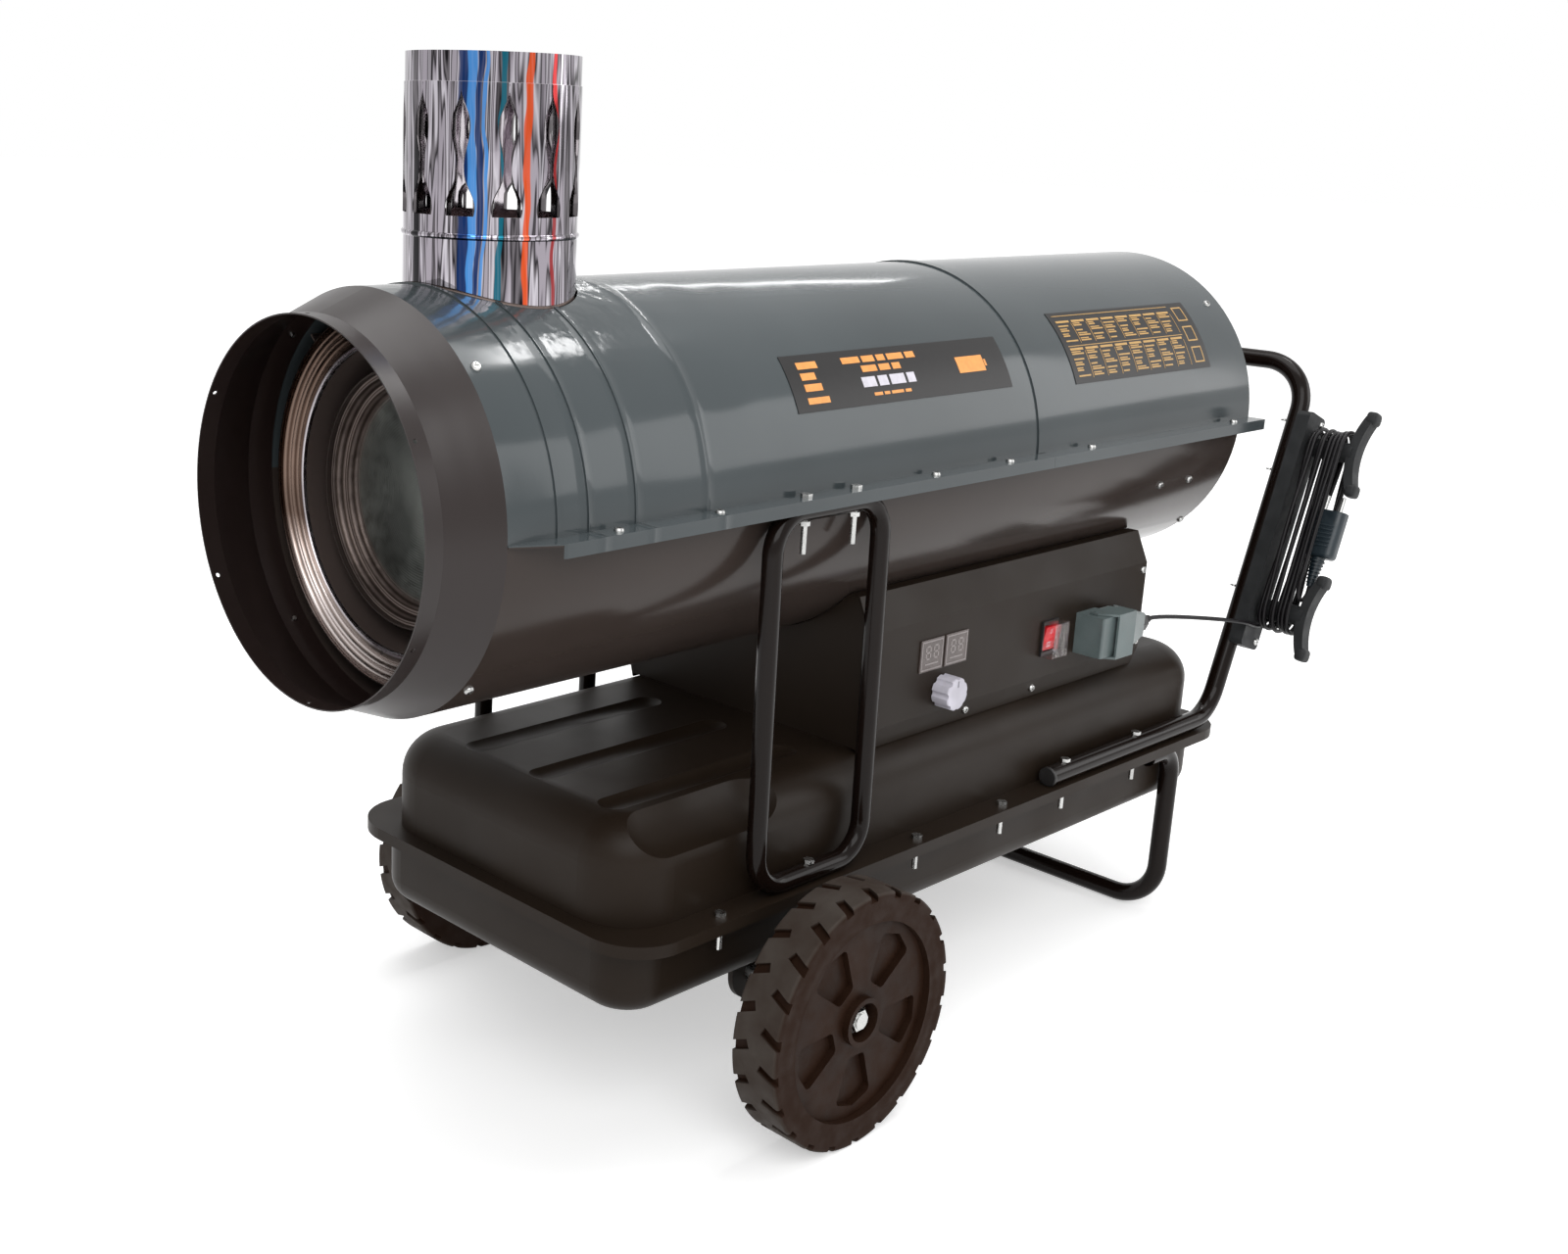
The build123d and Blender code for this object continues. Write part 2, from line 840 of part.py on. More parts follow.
def make_burner_tube():
    disc = drum_cylinder(chamber_radius, chamber_end, chamber_end + plate_thickness)
    tube_start = chamber_end + plate_thickness
    tube = drum_cylinder(burner_radius, tube_start - plate_thickness, tube_start + burner_length)
    tube_end = tube_start + burner_length
    bore = drum_cylinder(burner_radius - burner_wall, chamber_end - overrun, tube_end + overrun)
    return disc + tube - bore


def spider_station():
    return chamber_end + nozzle_setback


def electrode_places():
    angle = radians(electrode_angle)
    return [(side * electrode_spread * sin(angle), -electrode_spread * cos(angle)) for side in (-1, 1)]


def make_burner_nozzle():
    """Nozzle held in the burner tube by a ring on three arms, two of which carry the electrodes."""
    station = spider_station()
    outer = burner_radius - burner_wall - sheet_clearance
    spider = drum_tube(outer, outer - spoke_width, station, station + spider_thickness)
    for index in range(spoke_count):
        arm = Pos(0, outer / 2) * Rectangle(spoke_width, outer - spoke_width / 2)
        spider += raised(drum_plane(station), Rot(0, 0, 360 * index / spoke_count) * arm, spider_thickness)
    for place_y, place_z in electrode_places():
        boss = Pos(place_y, place_z) * Circle(electrode_radius * 2)
        spider += raised(drum_plane(station), boss, spider_thickness)
    body = turned([(station - nozzle_length / 2, 0), (station - nozzle_length / 2, nozzle_tip),
                   (station - nozzle_length / 3, nozzle_radius), (station + nozzle_length / 2, nozzle_radius),
                   (station + nozzle_length / 2, 0)])
    nozzle = spider + body
    for place_y, place_z in electrode_places():
        hole = Pos(place_y, place_z) * Circle(electrode_radius + running_clearance)
        nozzle -= raised(drum_plane(station - spider_thickness), hole, spider_thickness * 4)
    return nozzle


def make_electrodes():
    rods = []
    start = spider_station() - electrode_length / 2
    for place_y, place_z in electrode_places():
        rod = drum_plane(start) * Pos(place_y, place_z) * Circle(electrode_radius)
        rods.append(extrude(rod, amount=electrode_length))
    return rods


def make_motor():
    body = drum_cylinder(motor_radius, motor_start + motor_cap_length, motor_end - motor_cap_length)
    body = chamfer(body.edges().filter_by(GeomType.CIRCLE), (motor_radius - motor_cap_radius) / 2)
    body += drum_cylinder(motor_cap_radius, motor_start, motor_end)
    return body - drum_cylinder(shaft_radius + running_clearance, motor_start - overrun, motor_end + overrun)


def make_motor_bracket():
    """Cradle under the motor with two webs down to the lower casing."""
    inner = motor_radius + sheet_clearance
    outer = casing_inside - sheet_clearance
    below = Pos(0, -drum_radius) * Rectangle(cradle_half_width * 2, drum_radius * 2)
    web = (Circle(outer) - Circle(inner)) & below
    strip = (Circle(inner + cradle_thickness) - Circle(inner)) & below
    foot = (Circle(outer) - Circle(outer - cradle_thickness)) & below
    start = motor_start + motor_cap_length * 2
    length = motor_length - motor_cap_length * 4
    bracket = extrude(drum_plane(start) * (strip + foot), amount=length)
    for station in (start, start + length - cradle_thickness):
        bracket += extrude(drum_plane(station) * web, amount=cradle_thickness)
    for plane in cradle_screw_planes(casing_inside):
        bracket -= screw_hole(plane)
    return bracket


def make_shaft():
    end = fan_start + fan_hub_length - fan_gap / 2
    return drum_cylinder(shaft_radius, pump_start + pump_length / 2, end)


def make_fan():
    hub = drum_cylinder(fan_hub_radius, fan_start, fan_start + fan_hub_length)
    hub = fillet(hub.edges().filter_by(GeomType.CIRCLE), fan_gap / 4)
    centre = fan_start + fan_hub_length / 2
    inner = fan_hub_radius * blade_foot_share
    root = blade_chord * blade_root_share / 2
    tip = blade_chord / 2
    corners = ((-root, inner), (root, inner), (tip, fan_radius + tip), (-tip, fan_radius + tip))
    flat = Plane(origin=(0, -blade_thickness / 2, 0), x_dir=(-1, 0, 0), z_dir=(0, 1, 0))
    blade = raised(flat, Polygon(*corners, align=None), blade_thickness)
    blade = Pos(centre, 0, drum_height) * Rot(0, 0, 90 - blade_pitch) * blade
    envelope = drum_cylinder(fan_radius, fan_start - fan_gap / 2, fan_start + fan_hub_length + fan_gap)
    fan = hub
    for index in range(blade_count):
        fan += blade.rotate(drum_axis, 360 * index / blade_count) & envelope
    return fan - drum_cylinder(shaft_radius, 0, fan_start + fan_hub_length - fan_gap / 2)


def make_fuel_pump():
    half = pump_size / 2
    heights = (drum_height - half, drum_height + half)
    body = block((pump_start, pump_start + pump_length), (-half, half), heights)
    body = chamfer(body.edges().filter_by(Axis.X), pump_size / 8)
    body += drum_cylinder(pump_boss_radius, pump_start, motor_start)
    bore_start = pump_start + pump_length / 2 - running_clearance
    return body - drum_cylinder(shaft_radius + running_clearance, bore_start, motor_end)


def pump_line_station():
    return pump_start + pump_length / 4


def make_fuel_lines():
    """Suction line up from the filter, and delivery line forward to the nozzle."""
    low = tank_top + filter_height
    high = drum_height - pump_size / 2
    station = pump_line_station()
    suction = upright(station, suction_line_offset, low, high, fuel_line_radius)
    nozzle_end = spider_station() + nozzle_length / 2
    rise = pump_size / 4
    gap = pump_start - nozzle_end
    first, second = [nozzle_end + gap * share for share in fuel_line_rise_shares]
    points = [(nozzle_end, 0, drum_height), (first, 0, drum_height), (second, 0, drum_height + rise),
              (pump_start, 0, drum_height + rise)]
    path = FilletPolyline(*points, radius=fuel_line_bend)
    delivery = sweep(Plane(origin=path @ 0, z_dir=path % 0) * Circle(fuel_line_radius), path=path)
    return [suction, delivery]


def make_fuel_filter():
    station = pump_line_station()
    bowl_top = tank_top + filter_height * filter_bowl_share
    bowl = upright(station, suction_line_offset, tank_top, bowl_top, filter_radius * filter_bowl_radius_share)
    head = upright(station, suction_line_offset, bowl_top, tank_top + filter_height, filter_radius)
    return bowl + head


def make_guard():
    """Rings on spokes, with four tabs that reach back under the casing's screws."""
    largest = guard_ring_pitch * guard_ring_count
    half = guard_bar / 2
    guard = Part()
    for index in range(1, guard_ring_count + 1):
        radius = guard_ring_pitch * index
        guard += drum_tube(radius + half, radius - half, guard_station, guard_station + guard_bar)
    for index in range(guard_spoke_count):
        turn = 360 / guard_spoke_count * index + 180 / guard_spoke_count
        bar = Rot(0, 0, turn) * Pos(0, largest / 2) * Rectangle(guard_bar, largest)
        guard += raised(drum_plane(guard_station + half), bar, guard_bar)
    reach = casing_inside - sheet_clearance
    for plane in guard_screw_planes(reach):
        tab = Box(guard_tab_length, guard_tab_width, (reach - largest) * 2)
        guard += (plane.location * tab) & drum_tube(reach, largest - half, 0, casing_end)
    for plane in guard_screw_planes(casing_inside):
        guard -= screw_hole(plane)
    return guard


# Fuel tank

def tank_frame_bolts():
    """Places (x, y) of the bolts through the tank flange."""
    places = []
    for share in tank_bolt_shares:
        places.append((tank_flange_front + share * tank_flange_length, frame_offset))
    for share in handle_bolt_shares:
        places.append((handle_start + share * (handle_bend_station - handle_start), frame_offset))
    places.append((side_frame_centre, frame_offset))
    return places + [(x, -y) for x, y in places]


def tank_grooves(extra):
    grooves = Part()
    start = tank_flange_front + groove_setback
    for index in range(groove_count):
        y = groove_shift + (index - (groove_count - 1) / 2) * groove_pitch
        axis_height = tank_top + groove_radius - groove_depth
        plane = Plane(origin=(start, y, axis_height), z_dir=(1, 0, 0))
        grooves += extrude(plane * Circle(groove_radius + extra), amount=groove_length)
        for station in (start, start + groove_length):
            grooves += Pos(station, y, axis_height) * Sphere(groove_radius + extra)
    return grooves + tank_scoop(extra)


def tank_scoop(extra):
    """Rounded hollow pressed into the control side's top edge, near the outlet."""
    start = tank_flange_front + scoop_setback
    height = tank_top + scoop_lift
    plane = Plane(origin=(start, -scoop_offset, height), z_dir=(1, 0, 0))
    scoop = extrude(plane * Circle(scoop_radius + extra), amount=scoop_length)
    for station in (start, start + scoop_length):
        scoop += Pos(station, -scoop_offset, height) * Sphere(scoop_radius + extra)
    return scoop


def tank_block(half_width, corner, wall, low, high, edge, at_top):
    """Pillow-shaped block, a wall's thickness inside its outline, with rounded edges at its top or its bottom."""
    front = tank_flange_front + tank_inset + wall
    back = tank_flange_back - tank_inset - wall
    slab = rounded_slab(front, back, half_width - wall, corner - wall, low, high)
    face = slab.faces().sort_by(Axis.Z)[-1 if at_top else 0]
    return fillet(face.edges(), edge - wall)


def flange_slab(low, high, inset):
    return rounded_slab(tank_flange_front + inset, tank_flange_back - inset, tank_flange_half_width - inset,
                        tank_flange_corner - inset, low, high)


def make_tank_upper():
    seam = tank_flange_height - tank_wall
    body = tank_block(tank_upper_half_width, tank_upper_corner, 0, seam, tank_top, tank_upper_round, True)
    cavity = tank_block(tank_upper_half_width, tank_upper_corner, tank_wall, seam - overrun, tank_top - tank_wall,
                        tank_upper_round, True)
    rim = flange_slab(tank_flange_height - tank_rim_drop, tank_flange_height, 0)
    rim -= flange_slab(tank_flange_height - tank_rim_drop - overrun, seam, tank_wall)
    tank = body + rim - tank_grooves(0)
    tank -= cavity - tank_grooves(tank_wall)
    x = filler_station
    tank += upright(x, filler_offset, tank_top - tank_wall, tank_top + filler_height, filler_radius)
    tank -= upright(x, filler_offset, tank_top - overrun, tank_top + filler_height + overrun, filler_bore)
    stem_hole = gauge_stem_radius + hole_clearance
    tank -= upright(x, gauge_offset, tank_top - overrun, tank_top + overrun, stem_hole)
    for bolt_x, bolt_y in tank_frame_bolts():
        tank -= bolt_hole(bolt_x, bolt_y, tank_bottom, tank_top)
    return tank


def axle_lugs():
    lugs = Part()
    below = block((0, tank_flange_back), (-wheel_outer_face, wheel_outer_face), (0, tank_bottom))
    for side in (-1, 1):
        face = side * axle_lug_offset - axle_lug_thickness / 2
        lug = block((wheel_station - axle_lug_width / 2, wheel_station + axle_lug_width / 2),
                    (face, face + axle_lug_thickness), (wheel_radius, tank_bottom + tank_wall / 2))
        disc = Plane(origin=(wheel_station, face, wheel_radius), x_dir=(1, 0, 0),
                     z_dir=(0, 1, 0)) * Circle(axle_lug_width / 2)
        lugs += lug + (extrude(disc, amount=axle_lug_thickness) & below)
    return lugs


def make_tank_lower():
    seam = tank_flange_height - tank_wall
    body = tank_block(tank_lower_half_width, tank_lower_corner, 0, tank_bottom, seam, tank_lower_round, False)
    cavity = tank_block(tank_lower_half_width, tank_lower_corner, tank_wall, tank_bottom + tank_wall,
                        seam + overrun, tank_lower_round, False)
    flange = flange_slab(flange_underside, seam, tank_wall + sheet_clearance)
    tank = body + flange - cavity + axle_lugs()
    tank -= axle_rod(axle_radius + running_clearance, wheel_outer_face)
    x = drain_station
    tank -= upright(x, 0, tank_bottom - overrun, tank_bottom + overrun, drain_radius + hole_clearance)
    for bolt_x, bolt_y in tank_frame_bolts():
        tank -= bolt_hole(bolt_x, bolt_y, tank_bottom, tank_top)
    return tank


def make_filler_cap():
    x = filler_station
    low = tank_top + sheet_clearance
    top = tank_top + cap_height + sheet_clearance
    cap = upright(x, filler_offset, low, top, cap_radius)
    cap = fillet(cap.edges().sort_by(Axis.Z)[-1], cap_top / 2)
    for index in range(cap_grip_count):
        angle = radians(360 * index / cap_grip_count)
        reach = cap_radius + cap_grip_radius / 2
        cap -= upright(x + reach * cos(angle), filler_offset + reach * sin(angle), low - overrun, top + overrun,
                       cap_grip_radius)
    return cap - upright(x, filler_offset, low - overrun, tank_top + filler_height + sheet_clearance,
                         filler_radius + running_clearance)


def make_fuel_gauge():
    x = filler_station
    head = upright(x, gauge_offset, tank_top, tank_top + gauge_height, gauge_radius)
    head = fillet(head.edges().sort_by(Axis.Z)[-1], gauge_height / 3)
    return head + upright(x, gauge_offset, tank_top - gauge_stem_length, tank_top, gauge_stem_radius)


def make_drain_plug():
    x = drain_station
    head = Plane(origin=(x, 0, tank_bottom - drain_head_height)) * RegularPolygon(drain_head_radius, 6)
    return extrude(head, amount=drain_head_height) + upright(x, 0, tank_bottom - drain_head_height,
                                                             tank_bottom + drain_head_height, drain_radius)


# Control housing

def box_outline(inset):
    """Half outline of the housing on the +Y side, and its mirror, as one polygon."""
    side = [(box_foot_half_width - inset, box_bottom), (box_half_width - inset, box_foot_height),
            (box_half_width - inset, box_crease), (box_top_half_width - inset, box_shoulder - inset),
            (0, box_shoulder - inset)]
    other = [(-y, z) for y, z in reversed(side[:-1])]
    return Polygon(*(side + other), align=None)


def under_drum():
    return Pos(0, drum_height) * Circle(drum_radius + sheet_clearance * 2)


def panel_screw_places():
    """Places (x, z) of the screws along the edges of each side cover."""
    front = box_front + box_flange / 2
    back = box_back - box_flange / 2
    low = box_foot_height + box_flange / 2
    high = box_crease - box_flange / 2
    return [(front, high), (front, low), (back, high), (back, low)]


def make_side_cover():
    outline = box_outline(0) - box_outline(box_wall) - under_drum()
    shell = raised(section(box_front), outline, box_length)
    cover = shell & block((0, box_back), (-wheel_outer_face, 0), (0, drum_height))
    for x, z in panel_screw_places():
        cover -= screw_hole(Plane(origin=(x, panel_face, z), x_dir=(1, 0, 0), z_dir=(0, -1, 0)))
    return cover


def make_end_plate(at_front):
    inset = box_wall + sheet_clearance
    outline = box_outline(inset) - under_drum()
    low_edge = Pos(0, tank_top / 2) * Rectangle(box_half_width * 4, tank_top + sheet_clearance)
    sheet = outline - low_edge
    ring = sheet - box_outline(inset + box_wall)
    start = box_front if at_front else box_back - box_wall
    plate = raised(section(start), sheet, box_wall)
    turn = raised(section(box_front if at_front else box_back - box_flange), ring, box_flange)
    plate += turn
    for x, z in panel_screw_places():
        hole = screw_hole(Plane(origin=(x, panel_face, z), x_dir=(1, 0, 0), z_dir=(0, -1, 0)))
        plate -= hole
        plate -= mirrored(hole)
    return plate


def panel_plane(setback, height, depth=0):
    """Plane on the control panel's face, looking out of it."""
    return Plane(origin=(box_front + setback, panel_face + depth, height), x_dir=(1, 0, 0), z_dir=(0, -1, 0))


def display_planes(depth=0):
    pitch = display_width + display_gap
    first = display_setback + display_width / 2
    return [panel_plane(first + pitch * index, display_centre_height, depth) for index in range(display_count)]


def make_control_panel():
    panel = make_side_cover()
    for plane in display_planes():
        size = display_width - display_body_inset * 2 + hole_clearance
        tall = display_height - display_body_inset * 2 + hole_clearance
        panel -= plane.location * Box(size, tall, box_wall * 4)
    panel -= panel_plane(knob_setback, knob_height).location * Cylinder(
        knob_shaft_radius + running_clearance, box_wall * 4)
    inside = switch_body_wall * 2 + rocker_clearance * 2 + hole_clearance
    panel -= panel_plane(switch_setback, switch_height).location * Box(
        rocker_width + inside, rocker_height + inside, box_wall * 4)
    return panel


def make_panel_screws():
    screws = []
    for x, z in panel_screw_places():
        one = screw(Plane(origin=(x, panel_face, z), x_dir=(1, 0, 0), z_dir=(0, -1, 0)), box_wall * 4)
        screws += [one, mirrored(one)]
    return screws


def board_depth():
    return box_wall + knob_length / 2


def make_display_windows():
    windows = []
    for plane in display_planes():
        front = Box(display_width, display_height, display_proud, align=standing)
        inset = display_body_inset * 2
        body = Box(display_width - inset, display_height - inset, board_depth(),
                   align=hanging)
        windows.append(plane.location * (front + body))
    return windows


def make_control_board():
    x = box_front + board_setback
    z = box_crease - board_drop - board_height
    y = panel_face + board_depth()
    board = block((x, x + board_length), (y, y + board_thickness), (z, z + board_height))
    board -= panel_plane(knob_setback, knob_height).location * Cylinder(
        knob_shaft_radius + running_clearance, board_depth() * 4)
    return board


def make_transformer():
    length, width, height = transformer_size
    x = pump_line_station() - filter_radius - transformer_gap - length
    body = block((x, x + length), (-width / 2, width / 2), (tank_top, tank_top + height))
    return fillet(body.edges().filter_by(Axis.Z), width / 12)


def make_knob():
    plane = panel_plane(knob_setback, knob_height)
    cap = Cylinder(knob_radius, knob_length, align=standing)
    cap = fillet(cap.edges().sort_by(Axis.Z)[-1], knob_length / 12)
    for index in range(knob_flute_count):
        flute = Pos(knob_radius + knob_flute_radius / 2, 0) * Cylinder(knob_flute_radius, knob_length * 4)
        cap -= Rot(0, 0, 360 * index / knob_flute_count) * flute
    cap = Pos(0, 0, knob_standoff) * cap
    shaft = Cylinder(knob_shaft_radius, board_depth() + board_thickness + knob_standoff,
                     align=hanging)
    return plane.location * (cap + Pos(0, 0, knob_standoff) * shaft)


def make_switch_bezel():
    plane = panel_plane(switch_setback, switch_height)
    flange = Box(bezel_width, bezel_height, bezel_thickness, align=standing)
    inside_width = rocker_width + rocker_clearance * 2
    inside_height = rocker_height + rocker_clearance * 2
    body = Box(inside_width + switch_body_wall * 2, inside_height + switch_body_wall * 2, switch_body_depth,
               align=hanging)
    well = Box(inside_width, inside_height, switch_body_depth, align=Align.CENTER)
    pins = Rot(0, 90, 0) * Cylinder(switch_body_wall, inside_width + switch_body_wall)
    bezel = flange + body - (Pos(0, 0, bezel_thickness) * well)
    middle = rocker_width - rocker_clearance * 4
    gap = Box(middle, inside_height, switch_body_depth * 4)
    return plane.location * (bezel + (pins - gap))


def make_switch_rocker():
    """Rocker seen from the side as a shallow V, with its low end at the bottom and a bore for its pivot."""
    half = rocker_height / 2
    edge = rocker_rise * rocker_edge_share
    outline = ((-half, -rocker_depth / 2), (half, -rocker_depth / 2), (half, edge),
               (0, rocker_rise * rocker_dip_share), (-half, edge))
    side = Plane(origin=(-rocker_width / 2, 0, 0), x_dir=(0, 1, 0), z_dir=(1, 0, 0))
    rocker = raised(side, Polygon(*outline, align=None), rocker_width)
    rocker -= Rot(0, 90, 0) * Cylinder(switch_body_wall + running_clearance, rocker_width * 2)
    tilted = Rot(rocker_tilt, 0, 0) * rocker
    return panel_plane(switch_setback, switch_height).location * tilted


def make_switch_cover():
    plane = panel_plane(switch_setback, switch_height, -bezel_thickness)
    outer = Box(bezel_width, bezel_height, cover_depth, align=standing)
    outer = fillet(outer.edges().sort_by(Axis.Z)[-4:], cover_wall * 2)
    inner = Box(bezel_width - cover_wall * 2, bezel_height - cover_wall * 2, cover_depth - cover_wall,
                align=standing)
    return plane.location * (outer - inner)


def inlet_span():
    front = box_front + inlet_setback
    return front, front + inlet_length


def inlet_heights():
    return inlet_centre_height - inlet_height / 2, inlet_centre_height + inlet_height / 2


def latch_studs(x):
    """Pins above and below the connector at station x, for the latch to pivot on or hook over."""
    low, high = inlet_heights()
    reach = latch_gap + latch_thickness + latch_gap * 2
    y = panel_face - inlet_depth / 2
    return upright(x, y, low - reach, high + reach, latch_stud_radius)


def make_inlet_housing():
    front, back = inlet_span()
    low, high = inlet_heights()
    housing = block((front, back), (panel_face - inlet_depth, panel_face), (low, high))
    housing = fillet(housing.edges().filter_by(Axis.Z).sort_by(Axis.Y)[:2], latch_stud_radius)
    return housing + latch_studs(front + latch_setback)


def make_connector_hood():
    front, back = inlet_span()
    y_middle = panel_face - inlet_depth / 2 - box_wall
    width = inlet_depth - box_wall * 2
    start = Plane(origin=(back, y_middle, inlet_centre_height), x_dir=(0, 1, 0), z_dir=(1, 0, 0))
    mouth = RectangleRounded(width, inlet_height, latch_stud_radius)
    tip = RectangleRounded(width - hood_taper, inlet_height - hood_taper * 2, latch_stud_radius)
    straight = extrude(start * mouth, amount=hood_length / 3)
    taper = loft([start.offset(hood_length / 3) * mouth, start.offset(hood_length) * tip])
    hood = straight + taper
    studs = latch_studs(front + latch_setback + latch_stud_reach)
    return hood + studs


def gland_start():
    return inlet_span()[1] + hood_length


def cord_exit():
    y = panel_face - inlet_depth / 2 - box_wall
    return Vector(gland_start() + gland_length + gland_tail, y, inlet_centre_height)


def make_cable_gland():
    tip = cord_exit()
    plane = Plane(origin=(gland_start(), tip.Y, tip.Z), x_dir=(0, 1, 0), z_dir=(1, 0, 0))
    nut_length = gland_length * gland_nut_share
    nut = extrude(plane * RegularPolygon(gland_radius, 8), amount=nut_length)
    dome = plane.offset(nut_length).location * Cone(
        gland_radius * gland_dome_share, gland_tail_radius, gland_length - nut_length,
        align=standing)
    tail = plane.offset(gland_length).location * Cone(
        gland_tail_radius, cord_radius * gland_tip_share, gland_tail, align=standing)
    return nut + dome + tail


def make_latch_lever():
    low, high = inlet_heights()
    pivot_x = inlet_span()[0] + latch_setback
    hook_x = pivot_x + latch_stud_reach
    y = panel_face - inlet_depth / 2
    half = latch_arm / 2
    outside = panel_face - inlet_depth - latch_bar_gap
    outer_edge = outside - latch_thickness
    outline = Polygon((pivot_x - half, y + half), (hook_x + half, y + half), (hook_x + half, outer_edge),
                      (pivot_x + latch_arm, outer_edge), (pivot_x - half, y - half), align=None)
    slot_half = latch_stud_radius + latch_gap
    slot = Pos(hook_x, y + half) * Rectangle(slot_half * 2, half * 2) + Pos(hook_x, y) * Circle(slot_half)
    arm = outline - slot - Pos(pivot_x, y) * Circle(latch_stud_radius + running_clearance)
    lever = raised(Plane(origin=(0, 0, high + latch_gap)), arm, latch_thickness)
    lever += raised(Plane(origin=(0, 0, low - latch_gap - latch_thickness)), arm, latch_thickness)
    lever += block((pivot_x + latch_arm, hook_x + half), (outer_edge, outside),
                   (low - latch_gap - latch_thickness, high + latch_gap + latch_thickness))
    return lever


# Tube frames

def make_side_frame():
    front = side_frame_centre - side_frame_half_length
    back = side_frame_centre + side_frame_half_length
    low = (-frame_offset, side_frame_bottom)
    high = (-side_frame_top_offset, side_frame_top)
    corners = [(front, *low), (back, *low), (back, *high), (front, *high)]
    path = FilletPolyline(*corners, radius=side_frame_corner, close=True)
    frame = tube_along(path, side_tube_radius, side_tube_wall)
    frame -= bolt_hole(side_frame_centre, -frame_offset, tank_flange_height - overrun,
                       tank_flange_height + overrun)
    for station in flange_bolt_stations():
        frame -= bolt_hole(station, -side_frame_top_offset, drum_height - overrun - overrun, drum_height)
    return frame


def make_handle_tube():
    side = [(handle_start, -frame_offset, handle_height), (handle_bend_station, -frame_offset, handle_height),
            (handle_top_station, -frame_offset, handle_top_height)]
    other = [(x, -y, z) for x, y, z in reversed(side)]
    radii = [handle_lower_bend, handle_upper_bend, handle_upper_bend, handle_lower_bend]
    path = FilletPolyline(*(side + other), radius=radii)
    handle = tube_along(path, handle_tube_radius, handle_tube_wall)
    for x, y in tank_frame_bolts():
        if x > handle_start:
            handle -= bolt_hole(x, y, tank_flange_height - overrun, tank_flange_height + overrun)
    return handle


def make_tube_end_plugs():
    plane = Plane(origin=(handle_start, -frame_offset, handle_height), x_dir=(0, 1, 0), z_dir=(-1, 0, 0))
    head = Cylinder(handle_tube_radius, plug_head_length, align=standing)
    head = fillet(head.edges().sort_by(Axis.Z)[-1], plug_head_length / 2)
    spigot = Cylinder(handle_tube_radius - handle_tube_wall - sheet_clearance, plug_spigot_length,
                      align=hanging)
    plug = plane.location * (head + spigot)
    return [plug, mirrored(plug)]


def make_foot_stand():
    top = flange_underside - handle_tube_radius - running_clearance
    side = [(foot_station - foot_run, -frame_offset, top), (foot_station, -frame_offset, top),
            (foot_station, -frame_offset, foot_bar_height)]
    other = [(x, -y, z) for x, y, z in reversed(side)]
    radii = [foot_top_bend, foot_bottom_bend, foot_bottom_bend, foot_top_bend]
    path = FilletPolyline(*(side + other), radius=radii)
    return tube_along(path, handle_tube_radius, handle_tube_wall)


def make_frame_bolts():
    bolts = []
    for x, y in tank_frame_bolts():
        top = tank_flange_height
        if x > handle_start:
            top += handle_tube_radius * 2
        if x == side_frame_centre:
            top += side_tube_radius * 2
        bolts.append(bolt(x, y, top, flange_underside))
    for station in flange_bolt_stations():
        for side in (-1, 1):
            low = side_frame_top - side_tube_radius
            bolts.append(bolt(station, side * side_frame_top_offset, drum_height + casing_wall, low))
    return bolts


# Wheels

def axle_rod(radius, half_length):
    plane = Plane(origin=(wheel_station, -half_length, wheel_radius), x_dir=(1, 0, 0), z_dir=(0, 1, 0))
    return extrude(plane * Circle(radius), amount=half_length * 2)


def wheel_solid(outer, inner, outer_depth, inner_depth):
    """Ring on the control-side wheel, between two depths measured in from its outer face."""
    plane = Plane(origin=(wheel_station, -wheel_outer_face + outer_depth, wheel_radius),
                  x_dir=(1, 0, 0), z_dir=(0, 1, 0))
    shape = Circle(outer) - Circle(inner) if inner else Circle(outer)
    return extrude(plane * shape, amount=inner_depth - outer_depth)


def make_wheel_hub():
    bore = axle_radius + running_clearance
    rim_inner = hub_radius - hub_rim_depth
    hub = wheel_solid(hub_radius - hole_clearance, rim_inner, hub_web / 2, wheel_width - hub_web / 2)
    hub += wheel_solid(hub_radius - hole_clearance, bore, hub_web / 2, hub_web + hub_web / 2)
    hub += wheel_solid(hub_boss_radius, bore, 0, wheel_width)
    hub -= wheel_solid(hub_recess_radius, 0, 0, hub_recess)
    plane = Plane(origin=(wheel_station, -wheel_outer_face, wheel_radius), x_dir=(1, 0, 0), z_dir=(0, 1, 0))
    half = pocket_spread / 2
    inner_half = half * pocket_inner_radius / pocket_outer_radius
    outline = Polygon((pocket_inner_radius, -inner_half), (pocket_outer_radius, -half),
                      (pocket_outer_radius + half / 3, 0), (pocket_outer_radius, half),
                      (pocket_inner_radius, inner_half), align=None)
    outline = fillet(outline.vertices(), inner_half / 2)
    for index in range(pocket_count):
        hub -= raised(plane, Rot(0, 0, 90 + 360 * index / pocket_count) * outline, hub_web)
    return hub


